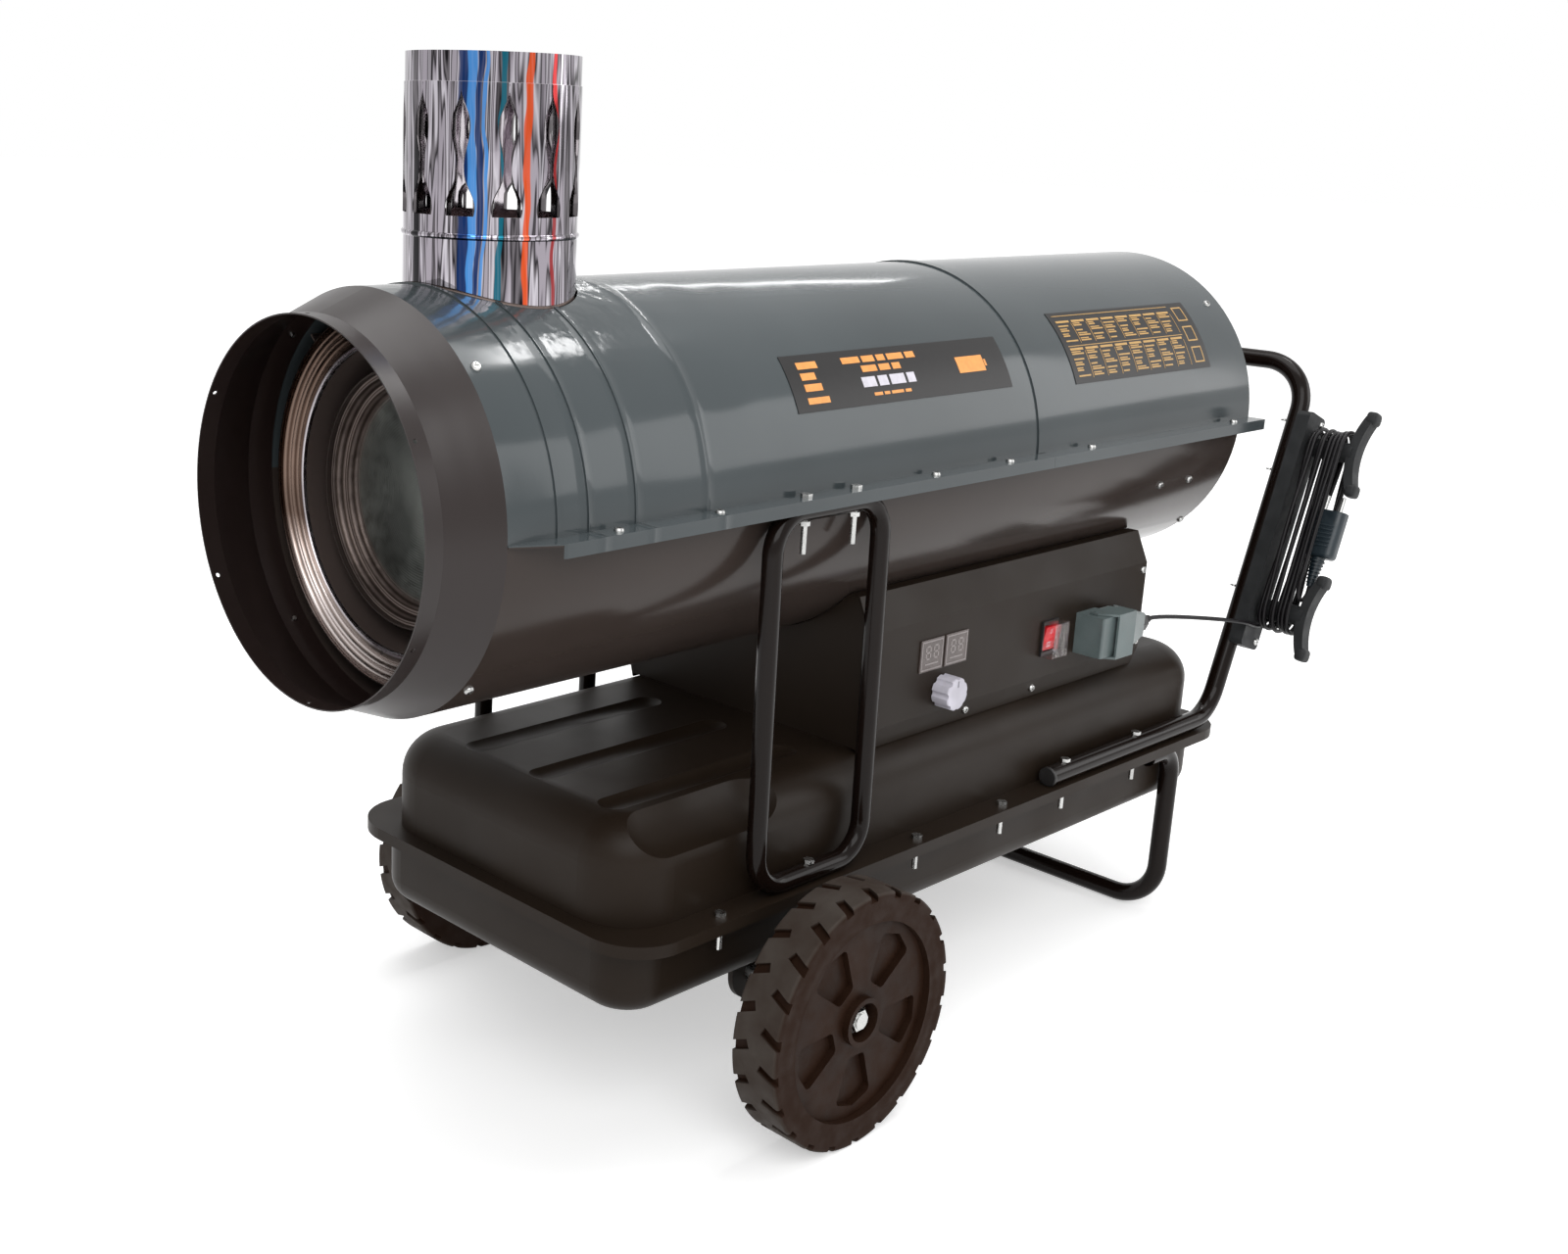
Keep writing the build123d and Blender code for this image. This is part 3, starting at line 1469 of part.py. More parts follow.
def make_tyre():
    tyre = wheel_solid(wheel_radius, hub_radius, 0, wheel_width)
    edges = tyre.edges().filter_by(GeomType.CIRCLE)
    outer_edges = [edge for edge in edges if edge.radius > hub_radius + tread_slot_depth]
    tyre = fillet(outer_edges, tread_slot_depth / 2)
    slot_length = wheel_width * tread_slot_share
    slot = Box(tread_slot_width, slot_length * 2, tread_slot_depth * 2)
    centre = Axis((wheel_station, 0, wheel_radius), (0, 1, 0))
    for row, side in enumerate((-1, 1)):
        y = -wheel_outer_face + wheel_width / 2 + side * wheel_width / 2
        base = Pos(wheel_station, y, wheel_radius * 2) * Rot(0, 0, side * tread_slant) * slot
        for index in range(tread_count):
            tyre -= base.rotate(centre, 360 * (index + row / 2) / tread_count)
    return tyre


def make_axle_hardware():
    """Outer washer and nut, and inner spacer tube, for one wheel."""
    bore = axle_radius + running_clearance
    washer_out = hub_recess - sheet_clearance
    washer = wheel_solid(washer_radius, bore, washer_out - washer_thickness, washer_out)
    nut_face = -wheel_outer_face + washer_out - washer_thickness - nut_thickness
    nut_plane = Plane(origin=(wheel_station, nut_face, wheel_radius), x_dir=(1, 0, 0), z_dir=(0, 1, 0))
    nut = extrude(nut_plane * (RegularPolygon(nut_radius, 6) - Circle(bore)), amount=nut_thickness)
    lug_face = wheel_outer_face - axle_lug_offset - axle_lug_thickness / 2
    spacer = wheel_solid(spacer_radius, bore, wheel_width + sheet_clearance, lug_face)
    return [washer, nut, spacer]


# Cable store

def store_point(along, across, y):
    """Point on the sloping handle leg: along it from the lower corner, and across it to the rear."""
    lean = handle_lean
    x = handle_bend_station + along * sin(lean) + across * cos(lean)
    z = handle_height + along * cos(lean) - across * sin(lean)
    return Vector(x, y, z)


def store_plane(y):
    """Plane beside the handle leg: local x across it to the rear, local y up along it, facing outwards."""
    lean = handle_lean
    return Plane(origin=store_point(0, 0, y), x_dir=(cos(lean), 0, -sin(lean)), z_dir=(0, -1, 0))


def make_cable_store():
    face = -frame_offset - handle_tube_radius - sheet_clearance
    outline = Pos((store_back - store_front) / 2, store_start + store_length / 2) * RectangleRounded(
        store_front + store_back, store_length, store_front / 2)
    cheek = store_plane(face + store_cheek)
    base = extrude(cheek * outline, amount=store_depth + store_cheek)
    leg = Plane(origin=store_point(0, 0, -frame_offset), z_dir=(sin(handle_lean), 0, cos(handle_lean)))
    base -= extrude(leg * Circle(handle_tube_radius + sheet_clearance), amount=handle_rise)
    store = base
    peg_root = store_plane(face - store_depth)
    for along in (peg_low, peg_high):
        peg = peg_root * (Pos(peg_offset, along) * Circle(peg_radius))
        store += extrude(peg, amount=peg_length + cleat_thickness / 2)
        store += cleat(along, face - store_depth - peg_length)
    return store


def cleat(along, y):
    """Crescent bar across a peg's end, whose tips flare away from the handle."""
    up = (sin(handle_lean), 0, cos(handle_lean))
    rearward = (cos(handle_lean), 0, -sin(handle_lean))
    plane = Plane(origin=store_point(along, peg_offset - cleat_width / 2, y), x_dir=up, z_dir=rearward)
    out = plane.to_local_coords(store_point(along, peg_offset - cleat_width / 2, y - cleat_flare)).Y
    side = 1 if out > 0 else -1
    half = cleat_half_length
    near = ThreePointArc((-half, side * cleat_flare), (0, 0), (half, side * cleat_flare))
    far = ThreePointArc((half, side * (cleat_flare + cleat_thickness)), (0, side * cleat_thickness),
                        (-half, side * (cleat_flare + cleat_thickness)))
    ends = [Line(near @ 1, far @ 0).edge(), Line(far @ 1, near @ 0).edge()]
    outline = Face(Wire([near.edge(), ends[0], far.edge(), ends[1]]))
    return raised(plane, Sketch(outline.wrapped), cleat_width)


# Mains cable

def biarc(start, out, end, onward):
    """Two arcs from start, along out, to end, along onward; a straight line where all are in line."""
    gap = end - start
    both = out + onward
    turn = 1 - out.dot(onward)
    along = gap.dot(both)
    reach = (sqrt(along * along + 2 * turn * gap.dot(gap)) - along) / (2 * turn)
    first = start + out * reach
    second = end - onward * reach
    knot = (first + second) * 0.5
    heading = (second - first).normalized()
    return [TangentArc(start, knot, tangent=out).edge(), TangentArc(knot, end, tangent=heading).edge()]


def winding_places():
    """The winding's corners: rear side up, then front side down, turn after turn along the pegs."""
    first = -frame_offset - handle_tube_radius - sheet_clearance - store_depth - cord_seat
    corners = []
    for turn in range(cord_turns):
        y = first - turn * cord_pitch
        back = cord_loop_radius + cord_back_extra + cord_slack_back * abs(sin(cord_back_wave * turn))
        front = cord_loop_radius + cord_slack_front * abs(sin(cord_front_wave * turn + cord_front_phase))
        if turn == cord_turns - 1:
            front = cord_last_front
        quarter = cord_pitch / 4
        corners.append((store_point(peg_low, peg_offset + back, y),
                        store_point(peg_high, peg_offset + back, y - quarter),
                        store_point(peg_high, peg_offset - front, y - quarter * 2),
                        store_point(peg_low, peg_offset - front, y - quarter * 3)))
    return corners


def cord_entry():
    """Corners of the free cable, from the gland to just before the winding begins under the lower peg."""
    y = -frame_offset - handle_tube_radius - sheet_clearance - store_depth - cord_entry_lift
    bend = cord_exit() + Vector(cord_exit_run, 0, 0)
    low = peg_low - cord_loop_radius - cord_slack_front
    outside = store_point(low, -store_front - cord_entry_reach, y)
    spot = store_point(low, peg_offset - cord_loop_radius / 2, y)
    heading = (spot - outside).normalized()
    return bend, outside, spot, heading


def winding_path():
    corners = winding_places()
    spot, heading = cord_entry()[2:]
    edges = [Line(spot - heading * cord_radius * 2, spot).edge()]
    here, way = spot, heading
    for turn, (rear_low, rear_high, front_high, front_low) in enumerate(corners):
        up = (rear_high - rear_low).normalized()
        down = (front_low - front_high).normalized()
        edges += biarc(here, way, rear_low, up)
        edges.append(Line(rear_low, rear_high).edge())
        edges += biarc(rear_high, up, front_high, down)
        here, way = front_low, down
        if turn == len(corners) - 1:
            here = front_high + down * (peg_high - plug_start + cord_radius * 2)
        edges.append(Line(front_high, here).edge())
    tip = store_point(plug_start, plug_across, plug_offset)
    up = (store_point(plug_start + peg_high, plug_across, plug_offset) - tip).normalized()
    before = tip - up * cord_radius * 2
    edges += biarc(here, way, before, up)
    edges.append(Line(before, tip).edge())
    return Wire(edges)


def least_gap(path, step, apart):
    """Least clear gap between stretches of the cable further apart along it than the given length."""
    count = int(path.length / step)
    points = [path.position_at(index / count) for index in range(count + 1)]
    places = [(p.X, p.Y, p.Z) for p in points]
    skip = int(apart / step)
    least = path.length
    for index, (x, y, z) in enumerate(places):
        for ox, oy, oz in places[index + skip:]:
            if abs(oy - y) < least:
                least = min(least, sqrt((ox - x) ** 2 + (oy - y) ** 2 + (oz - z) ** 2))
    return least - cord_radius * 2


def round_tube(path):
    return sweep(Plane(origin=path @ 0, z_dir=path % 0) * Circle(cord_radius), path=path)


def make_cord_free():
    bend, outside, spot, heading = cord_entry()
    corners = [cord_exit(), bend, outside, spot - heading * cord_radius * 2]
    radii = []
    for before, corner, after in zip(corners, corners[1:], corners[2:]):
        turn = radians((corner - before).get_angle(after - corner))
        shorter = min((corner - before).length, (after - corner).length)
        radii.append(cord_bend_share * shorter / tan(turn / 2))
    path = FilletPolyline(*corners, radius=radii)
    print("free cable: arc radii", [round(radius, 1) for radius in radii], "length", round(path.length, 1))
    return round_tube(path), path.length


def make_cord_winding():
    path = winding_path()
    tube = round_tube(path)
    share = tube.volume / (pi * cord_radius ** 2 * path.length)
    gap = least_gap(path, cord_radius, cord_loop_radius * 2)
    print("winding: length", round(path.length, 1), "volume share", round(share, 4))
    print("winding: least gap", round(gap, 2))
    return tube, path.length


def plug_section(along, width, thickness, corner):
    lean = handle_lean
    plane = Plane(origin=store_point(along, plug_across, plug_offset), x_dir=(0, 1, 0),
                  z_dir=(sin(lean), 0, cos(lean)))
    return plane * RectangleRounded(width, thickness, corner)


def make_mains_plug():
    lean = handle_lean
    up = (sin(lean), 0, cos(lean))
    tip = Plane(origin=store_point(plug_start, plug_across, plug_offset), x_dir=(0, 1, 0), z_dir=up)
    relief = tip.location * Cone(relief_tip_radius, relief_radius, relief_length,
                                 align=standing)
    body_start = plug_start + relief_length
    body = extrude(plug_section(body_start, plug_body_width, plug_body_thickness, plug_body_round),
                   amount=plug_body_length)
    body = fillet(body.faces().sort_by(Axis(tip.origin, up))[0].edges(), plug_body_round / 2)
    return relief + body


def make_plug_pins():
    lean = handle_lean
    pins = []
    start = plug_start + relief_length + plug_body_length
    for side in (-1, 1):
        root = store_point(start, plug_across, plug_offset + side * pin_spread)
        plane = Plane(origin=root, x_dir=(0, 1, 0), z_dir=(sin(lean), 0, cos(lean)))
        pin = Cylinder(pin_radius, pin_length, align=standing)
        pins.append(plane.location * fillet(pin.edges().sort_by(Axis.Z)[-1], pin_radius / 2))
    return pins


def main():
    os.makedirs("parts", exist_ok=True)
    export("outlet_cone", make_outlet_cone())
    export("casing_upper_front", make_casing_upper_front())
    export("casing_upper_rear", make_casing_upper_rear())
    export("casing_lower", make_casing_lower())
    export("casing_screws", *make_casing_screws(), *make_flange_screws())
    export("label_plates", *make_label_plates())
    export("intake_guard", make_guard())
    export("flue_pipe", make_flue_pipe())
    export("heat_exchanger", make_exchanger())
    export("exchanger_front_ring", make_exchanger_front_ring())
    export("combustion_chamber", make_combustion_chamber())
    export("chamber_front", make_chamber_front())
    export("burner_tube", make_burner_tube())
    export("burner_nozzle", make_burner_nozzle())
    export("ignition_electrodes", *make_electrodes())
    export("fan_motor", make_motor())
    export("motor_bracket", make_motor_bracket())
    export("motor_shaft", make_shaft())
    export("fan", make_fan())
    export("fuel_pump", make_fuel_pump())
    export("fuel_lines", *make_fuel_lines())
    export("fuel_filter", make_fuel_filter())
    export("tank_upper", make_tank_upper())
    export("tank_lower", make_tank_lower())
    export("filler_cap", make_filler_cap())
    export("fuel_gauge", make_fuel_gauge())
    export("drain_plug", make_drain_plug())
    export("control_panel", make_control_panel())
    export("control_cover_far", mirrored(make_side_cover()))
    export("housing_front_plate", make_end_plate(True))
    export("housing_rear_plate", make_end_plate(False))
    export("panel_screws", *make_panel_screws())
    export("display_windows", *make_display_windows())
    export("control_board", make_control_board())
    export("ignition_transformer", make_transformer())
    export("temperature_knob", make_knob())
    export("switch_bezel", make_switch_bezel())
    export("switch_rocker", make_switch_rocker())
    export("switch_cover", make_switch_cover())
    export("inlet_housing", make_inlet_housing())
    export("connector_hood", make_connector_hood())
    export("latch_lever", make_latch_lever())
    export("cable_gland", make_cable_gland())
    side_frame = make_side_frame()
    export("side_frame_near", side_frame)
    export("side_frame_far", mirrored(side_frame))
    export("handle_tube", make_handle_tube())
    export("tube_end_plugs", *make_tube_end_plugs())
    export("foot_stand", make_foot_stand())
    export("frame_bolts", *make_frame_bolts())
    export("axle", axle_rod(axle_radius, wheel_outer_face - axle_end_gap))
    hub = make_wheel_hub()
    export("wheel_hub_near", hub)
    export("wheel_hub_far", mirrored(hub))
    tyre = make_tyre()
    export("tyre_near", tyre)
    export("tyre_far", mirrored(tyre))
    hardware = make_axle_hardware()
    export("axle_hardware", *hardware, *[mirrored(piece) for piece in hardware])
    export("cable_store", make_cable_store())
    free, free_length = make_cord_free()
    winding, winding_length = make_cord_winding()
    export("cord_free", free)
    export("cord_winding", winding)
    export("mains_plug", make_mains_plug())
    export("plug_pins", *make_plug_pins())
    print("mains cable length", round(free_length + winding_length))


main()
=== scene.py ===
import bmesh
import bpy
import json
from math import atan, ceil, cos, pi, radians, sin, sqrt
from mathutils import Matrix, Vector


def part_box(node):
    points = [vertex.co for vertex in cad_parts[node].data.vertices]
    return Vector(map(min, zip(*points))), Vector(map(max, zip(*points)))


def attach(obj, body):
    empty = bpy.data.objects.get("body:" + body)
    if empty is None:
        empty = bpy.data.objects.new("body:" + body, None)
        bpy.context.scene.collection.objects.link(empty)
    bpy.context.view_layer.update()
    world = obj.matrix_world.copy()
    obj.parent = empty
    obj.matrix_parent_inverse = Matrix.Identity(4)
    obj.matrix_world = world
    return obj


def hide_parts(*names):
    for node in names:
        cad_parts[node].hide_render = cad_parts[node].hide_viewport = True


# Indirect fired heater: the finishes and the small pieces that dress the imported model, in metres.
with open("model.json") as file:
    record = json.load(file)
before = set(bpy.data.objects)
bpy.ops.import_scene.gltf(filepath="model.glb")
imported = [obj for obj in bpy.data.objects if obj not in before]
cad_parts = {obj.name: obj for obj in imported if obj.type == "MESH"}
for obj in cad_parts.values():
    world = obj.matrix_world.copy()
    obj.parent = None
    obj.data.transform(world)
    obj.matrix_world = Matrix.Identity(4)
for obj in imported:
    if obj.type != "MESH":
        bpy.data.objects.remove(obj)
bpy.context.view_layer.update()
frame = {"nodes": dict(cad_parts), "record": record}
mm = 0.001

# Sizes shared with the model, counted along X from the outlet lip and up from the floor
mid_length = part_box("handle_tube")[1].x
drum_height = 604 * mm
drum_radius = 182.5 * mm
casing_start = 64.5 * mm
casing_end = 1230.5 * mm
casing_wall = 1.2 * mm
handle_lean = atan(0.375)
handle_foot = 1193.5 * mm
handle_height = 240 * mm
peg_low = 146 * mm
peg_high = 351 * mm
peg_offset = 14 * mm
handle_offset = 196.5 * mm
handle_radius = 11 * mm
store_front = 14 * mm
store_face = 218.3 * mm
bead_stations = (148.1 * mm, 202.9 * mm, 288.0 * mm)
flue_station = 193.8 * mm
flue_radius = 75 * mm
flue_wall = 0.8 * mm
flue_rim_foot = 950 * mm
louvre_top = 949 * mm
louvre_length = 105 * mm
louvre_width = 24 * mm
louvre_count = 12
louvre_shares = ((0.0, 0.03), (0.1, 0.1), (0.25, 0.62), (0.38, 0.66), (0.55, 0.34), (0.72, 0.4),
                 (0.88, 1.0), (1.0, 1.0))
box_front = 550 * mm
box_back = 1065 * mm
panel_face = -165 * mm
panel_foot = 344 * mm
panel_crease = 446 * mm
wheel_station = 421.4 * mm
wheel_radius = 126 * mm
up_handle = Vector((sin(handle_lean), 0, cos(handle_lean)))
across_handle = Vector((cos(handle_lean), 0, -sin(handle_lean)))


def at(station, y, height):
    """Point in the row frame from a station counted from the outlet lip."""
    return Vector((station - mid_length, y, height))


def on_handle(along, across, y):
    """Point beside the sloping handle leg: along it from its lower corner, and across it to the rear."""
    return at(handle_foot, y, handle_height) + up_handle * along + across_handle * across


def on_drum(station, angle, radius):
    """Point on a circle about the drum's axis, at an angle above the level on the control side."""
    return at(station, -radius * cos(angle), drum_height + radius * sin(angle))


drum_centre = at(0, 0, drum_height)
flue_centre = at(flue_station, 0, 0)
wheel_centre = at(wheel_station, 0, wheel_radius)


# Camera, where the photograph was taken from

def make_camera():
    """Camera at the photograph's own view."""
    data = bpy.data.cameras.new("photo_camera")
    data.sensor_width = 36
    data.lens = 40.5
    data.shift_x = 0.1505
    data.shift_y = -0.0325
    data.clip_end = 100
    camera = bpy.data.objects.new("photo_camera", data)
    place = at(-0.7953, -1.1752, 0.9200)
    yaw, pitch, roll = radians(42.279), radians(-14.412), radians(1.816)
    turn = Matrix.Rotation(-yaw, 4, "Z")
    turn = turn @ Matrix.Rotation(pi / 2 + pitch, 4, "X") @ Matrix.Rotation(roll, 4, "Z")
    camera.matrix_world = Matrix.Translation(place) @ turn
    bpy.context.scene.collection.objects.link(camera)
    bpy.context.scene.camera = camera


# Materials

class Look:
    """A principled material and the short steps that give it its surface."""

    def __init__(self, name, colour, roughness, metallic=0.0, specular=0.5, coat=0.0):
        self.material = bpy.data.materials.new(name)
        self.material.use_nodes = True
        self.tree = self.material.node_tree
        self.shader = self.tree.nodes["Principled BSDF"]
        self.colour = colour
        self.relief_so_far = None
        values = {"Base Color": (*colour, 1), "Roughness": roughness, "Metallic": metallic,
                  "Specular IOR Level": specular, "Coat Weight": coat, "Coat Roughness": 0.05}
        for socket, value in values.items():
            self.shader.inputs[socket].default_value = value

    def node(self, kind, **values):
        node = self.tree.nodes.new(kind)
        for name, value in values.items():
            if name in node.inputs:
                node.inputs[name].default_value = value
            else:
                setattr(node, name, value)
        return node

    def join(self, output, socket):
        self.tree.links.new(output, socket)

    def place(self, stretch=(1, 1, 1), centre=(0, 0, 0)):
        """Object coordinates counted from a centre, stretched."""
        coordinates = self.node("ShaderNodeTexCoord")
        shift = [-offset * scale for offset, scale in zip(centre, stretch)]
        mapping = self.node("ShaderNodeMapping", Scale=stretch, Location=shift)
        self.join(coordinates.outputs["Object"], mapping.inputs["Vector"])
        return mapping.outputs["Vector"]

    def distance(self, stretch=(1, 1, 1), centre=(0, 0, 0)):
        """Distance from a centre, along the axes that the stretch keeps."""
        length = self.node("ShaderNodeVectorMath", operation="LENGTH")
        self.join(self.place(stretch, centre), length.inputs[0])
        return length.outputs["Value"]

    def axes(self, centre):
        """X, Y and Z counted from a centre."""
        split = self.node("ShaderNodeSeparateXYZ")
        self.join(self.place(centre=centre), split.inputs["Vector"])
        return [split.outputs[axis] for axis in "XYZ"]

    def noise(self, scale, stretch=(1, 1, 1), detail=3.0):
        texture = self.node("ShaderNodeTexNoise", Scale=scale, Detail=detail)
        self.join(self.place(stretch), texture.inputs["Vector"])
        return texture.outputs["Fac"]

    def rings(self, scale, direction, centre, distortion=0.0):
        """Rings about an axis through the centre."""
        texture = self.node("ShaderNodeTexWave", wave_type="RINGS", rings_direction=direction, Scale=scale,
                            Distortion=distortion)
        self.join(self.place(centre=centre), texture.inputs["Vector"])
        return texture.outputs["Fac"]

    def math(self, operation, first, second=0.0):
        node = self.node("ShaderNodeMath", operation=operation)
        for socket, value in zip(node.inputs, (first, second)):
            if isinstance(value, bpy.types.NodeSocket):
                self.join(value, socket)
            else:
                socket.default_value = value
        return node.outputs[0]

    def spread(self, value, low, high, start=0.35, stop=0.65):
        scaled = self.node("ShaderNodeMapRange")
        for name, number in (("From Min", start), ("From Max", stop), ("To Min", low), ("To Max", high)):
            scaled.inputs[name].default_value = number
        self.join(value, scaled.inputs["Value"])
        return scaled.outputs["Result"]

    def blend(self, factor, first, second):
        """Colour between two colours, each a plain one or an output."""
        mix = self.node("ShaderNodeMix", data_type="RGBA")
        sockets = [socket for socket in mix.inputs if socket.type == "RGBA"]
        for socket, value in zip(sockets, (first, second)):
            if isinstance(value, bpy.types.NodeSocket):
                self.join(value, socket)
            else:
                socket.default_value = (*value, 1)
        self.join(factor, mix.inputs["Factor"])
        return [socket for socket in mix.outputs if socket.type == "RGBA"][0]

    def ramp(self, value, stops):
        """Colour bands: (place, colour) pairs."""
        node = self.node("ShaderNodeValToRGB")
        bands = node.color_ramp.elements
        while len(bands) < len(stops):
            bands.new(0.5)
        for band, (place, colour) in zip(bands, stops):
            band.position = place
            band.color = (*colour, 1)
        self.join(value, node.inputs["Fac"])
        return node.outputs["Color"]

    def tone(self, share):
        return [min(channel * share, 1) for channel in self.colour]

    def tint(self, output):
        self.join(output, self.shader.inputs["Base Color"])
        return self

    def mottle(self, scale, dark, pale, stretch=(1, 1, 1)):
        """Colour that drifts between a darker and a paler tone of itself."""
        drift = self.spread(self.noise(scale, stretch), 0, 1)
        return self.tint(self.blend(drift, self.tone(dark), self.tone(pale)))

    def polish(self, scale, low, high, stretch=(1, 1, 1)):
        """Roughness that drifts between two values."""
        self.join(self.spread(self.noise(scale, stretch), low, high), self.shader.inputs["Roughness"])
        return self

    def relief(self, output, depth, strength=0.5):
        """Relief from a pattern, depth in metres, on top of the relief so far."""
        bump = self.node("ShaderNodeBump", Strength=strength, Distance=depth)
        self.join(output, bump.inputs["Height"])
        if self.relief_so_far:
            self.join(self.relief_so_far, bump.inputs["Normal"])
        self.relief_so_far = bump.outputs["Normal"]
        self.join(self.relief_so_far, self.shader.inputs["Normal"])
        return self

    def bump(self, scale, depth, stretch=(1, 1, 1), strength=0.5, detail=2.0):
        """Fine uneven relief, depth in metres."""
        return self.relief(self.noise(scale, stretch, detail), depth, strength)


def painted(name, colour, roughness, coat=0.0, specular=0.5, waves=0.12):
    """Sprayed paint: drifting tone, orange peel and the gentle waves of the sheet under it."""
    look = Look(name, colour, roughness, specular=specular, coat=coat)
    look.mottle(4, 0.9, 1.1).polish(9, roughness * 0.9, roughness * 1.15)
    return look.bump(420, 0.12 * mm, strength=0.12).bump(6, 4 * mm, strength=waves, detail=0.0)


crease_reach = (95 * mm, 150 * mm)
wave_reach = (200 * mm, 330 * mm)
bead_reach = (1 * mm, 10 * mm)


def casing_paint():
    """Glossy slate paint, wavy at the sheet's front, swollen at its beads and creased at the flue."""
    look = painted("casing_paint", (0.050, 0.060, 0.064), 0.12, coat=0.06, specular=0.27, waves=0.3)
    distance = look.distance((1, 1, 0), flue_centre)
    creases = look.math("MULTIPLY", look.spread(distance, 1, 0, *crease_reach), look.noise(75, detail=1.0))
    waves = look.math("MULTIPLY", look.spread(distance, 1, 0, *wave_reach), look.noise(17, detail=0.0))
    for station in bead_stations:
        beside = look.math("ABSOLUTE", look.axes(at(station, 0, 0))[0])
        swell = look.spread(beside, 1, 0, *bead_reach)
        look.relief(look.math("POWER", swell, 2.0), 3 * mm, 0.4)
    return look.relief(creases, 3 * mm, 0.3).relief(waves, 4 * mm, 0.3)


def tyre_rubber():
    """Brown moulded rubber, ringed on its side and dusty on its tread."""
    look = moulded("tyre_rubber", (0.020, 0.009, 0.005), 0.6, grain=500, specular=0.08)
    distance = look.distance((1, 0, 1), wheel_centre)
    tread = look.spread(distance, 0, 1, wheel_radius - 3 * mm, wheel_radius - 0.5 * mm)
    dust = look.math("MULTIPLY", tread, look.noise(25))
    look.tint(look.blend(dust, look.colour, (0.075, 0.066, 0.058)))
    return look.relief(look.rings(22, "Y", wheel_centre), 1.2 * mm, 0.25)


def moulded(name, colour, roughness, grain=900, specular=0.5):
    """Plastic or rubber from a mould, with a fine even grain."""
    look = Look(name, colour, roughness, specular=specular)
    look.mottle(30, 0.85, 1.15).polish(60, roughness * 0.85, roughness * 1.2)
    return look.bump(grain, 0.2 * mm, strength=0.35)


def metal(name, colour, roughness, scale=300):
    """Bare or plated metal, worn to an uneven shine."""
    look = Look(name, colour, roughness, metallic=1.0)
    look.mottle(12, 0.8, 1.1).polish(scale, roughness * 0.7, roughness * 1.4)
    return look.bump(scale, 0.08 * mm, strength=0.3)


def printed(name, colour):
    """Flat ink on a label or a display."""
    look = Look(name, colour, 0.4, specular=0.3)
    return look.mottle(160, 0.92, 1.05).bump(1200, 0.04 * mm, strength=0.2)


# The painted reflection stripes wander round the pipe by up to this angle, in radians.
reflection_waver = 0.22
rim_inside = (73.6 * mm, 73.9 * mm)
pipe_inside = (74.3 * mm, 74.6 * mm)


def mirror_stainless():
    """Bright pipe with painted reflections: upright light and dark stripes, some of them tinted, and pale
    inside.
    """
    look = Look("stainless_mirror", (0.50, 0.47, 0.50), 0.06, metallic=1.0)
    # Painted reflection: light and dark stripes up the pipe, standing in for the surroundings that its mirror
    # polish shows.
    reflection_streaks = look.noise(70, (1, 1, 0.05), detail=2.0)
    dark, deep, grey, pale, white = ((0.012, 0.011, 0.013), (0.05, 0.045, 0.05), (0.17, 0.155, 0.17),
                                     (0.34, 0.31, 0.35), (0.58, 0.55, 0.60))
    bands = look.ramp(reflection_streaks, ((0.34, dark), (0.37, grey), (0.40, dark), (0.42, pale), (0.455, white),
                                (0.475, grey), (0.49, dark), (0.505, pale), (0.54, pale), (0.555, deep),
                                (0.57, grey), (0.60, white), (0.63, dark), (0.66, pale)))
    x, y, height = look.axes(flue_centre)
    waver = look.math("MULTIPLY", look.noise(30, (1, 1, 0.6), detail=1.0), reflection_waver)
    angle = look.math("ADD", look.math("ARCTAN2", y, x), waver)
    # Tinted stripes, a painted reflection of coloured things around the heater.
    navy, blue, teal = (0.008, 0.03, 0.12), (0.07, 0.26, 0.62), (0.01, 0.13, 0.19)
    orange, crimson, brick_red = (0.72, 0.09, 0.02), (0.30, 0.02, 0.02), (0.60, 0.10, 0.03)
    for middle, width, colour in ((-142, 5, navy), (-137, 3.2, blue), (-132, 2.2, navy), (-128, 1.4, blue),
                                  (-117, 2.0, teal), (-101, 2.4, orange), (-80, 2.0, crimson),
                                  (-20, 3, navy), (60, 2, brick_red), (120, 3, blue)):
        offset = look.math("ABSOLUTE", look.math("SUBTRACT", angle, radians(middle)))
        window = look.spread(offset, 0.9, 0, radians(width) * 0.75, radians(width))
        bands = look.blend(window, bands, colour)
    distance = look.distance((1, 1, 0), flue_centre)
    above = look.spread(height, 0, 1, flue_rim_foot - 0.5 * mm, flue_rim_foot + 0.5 * mm)
    rim = look.math("MULTIPLY", above, look.spread(distance, 0, 1, *rim_inside))
    outside = look.math("MAXIMUM", rim, look.spread(distance, 0, 1, *pipe_inside))
    look.tint(look.blend(outside, (0.72, 0.67, 0.71), bands)).polish(30, 0.03, 0.10, (2, 2, 0.2))
    return look.bump(18, 5 * mm, (2.2, 2.2, 0.5), strength=0.3)


ridges_start = (138 * mm, 142 * mm)
lip_inner = (131 * mm, 132 * mm)
lip_outer = (136.5 * mm, 138 * mm)
inside_start = (94.6 * mm, 95 * mm)
# Heights from the drum's axis over which the painted reflection fades out upwards.
reflection_heights = (-95 * mm, -5 * mm)
dish_rim = (90 * mm, 96 * mm)


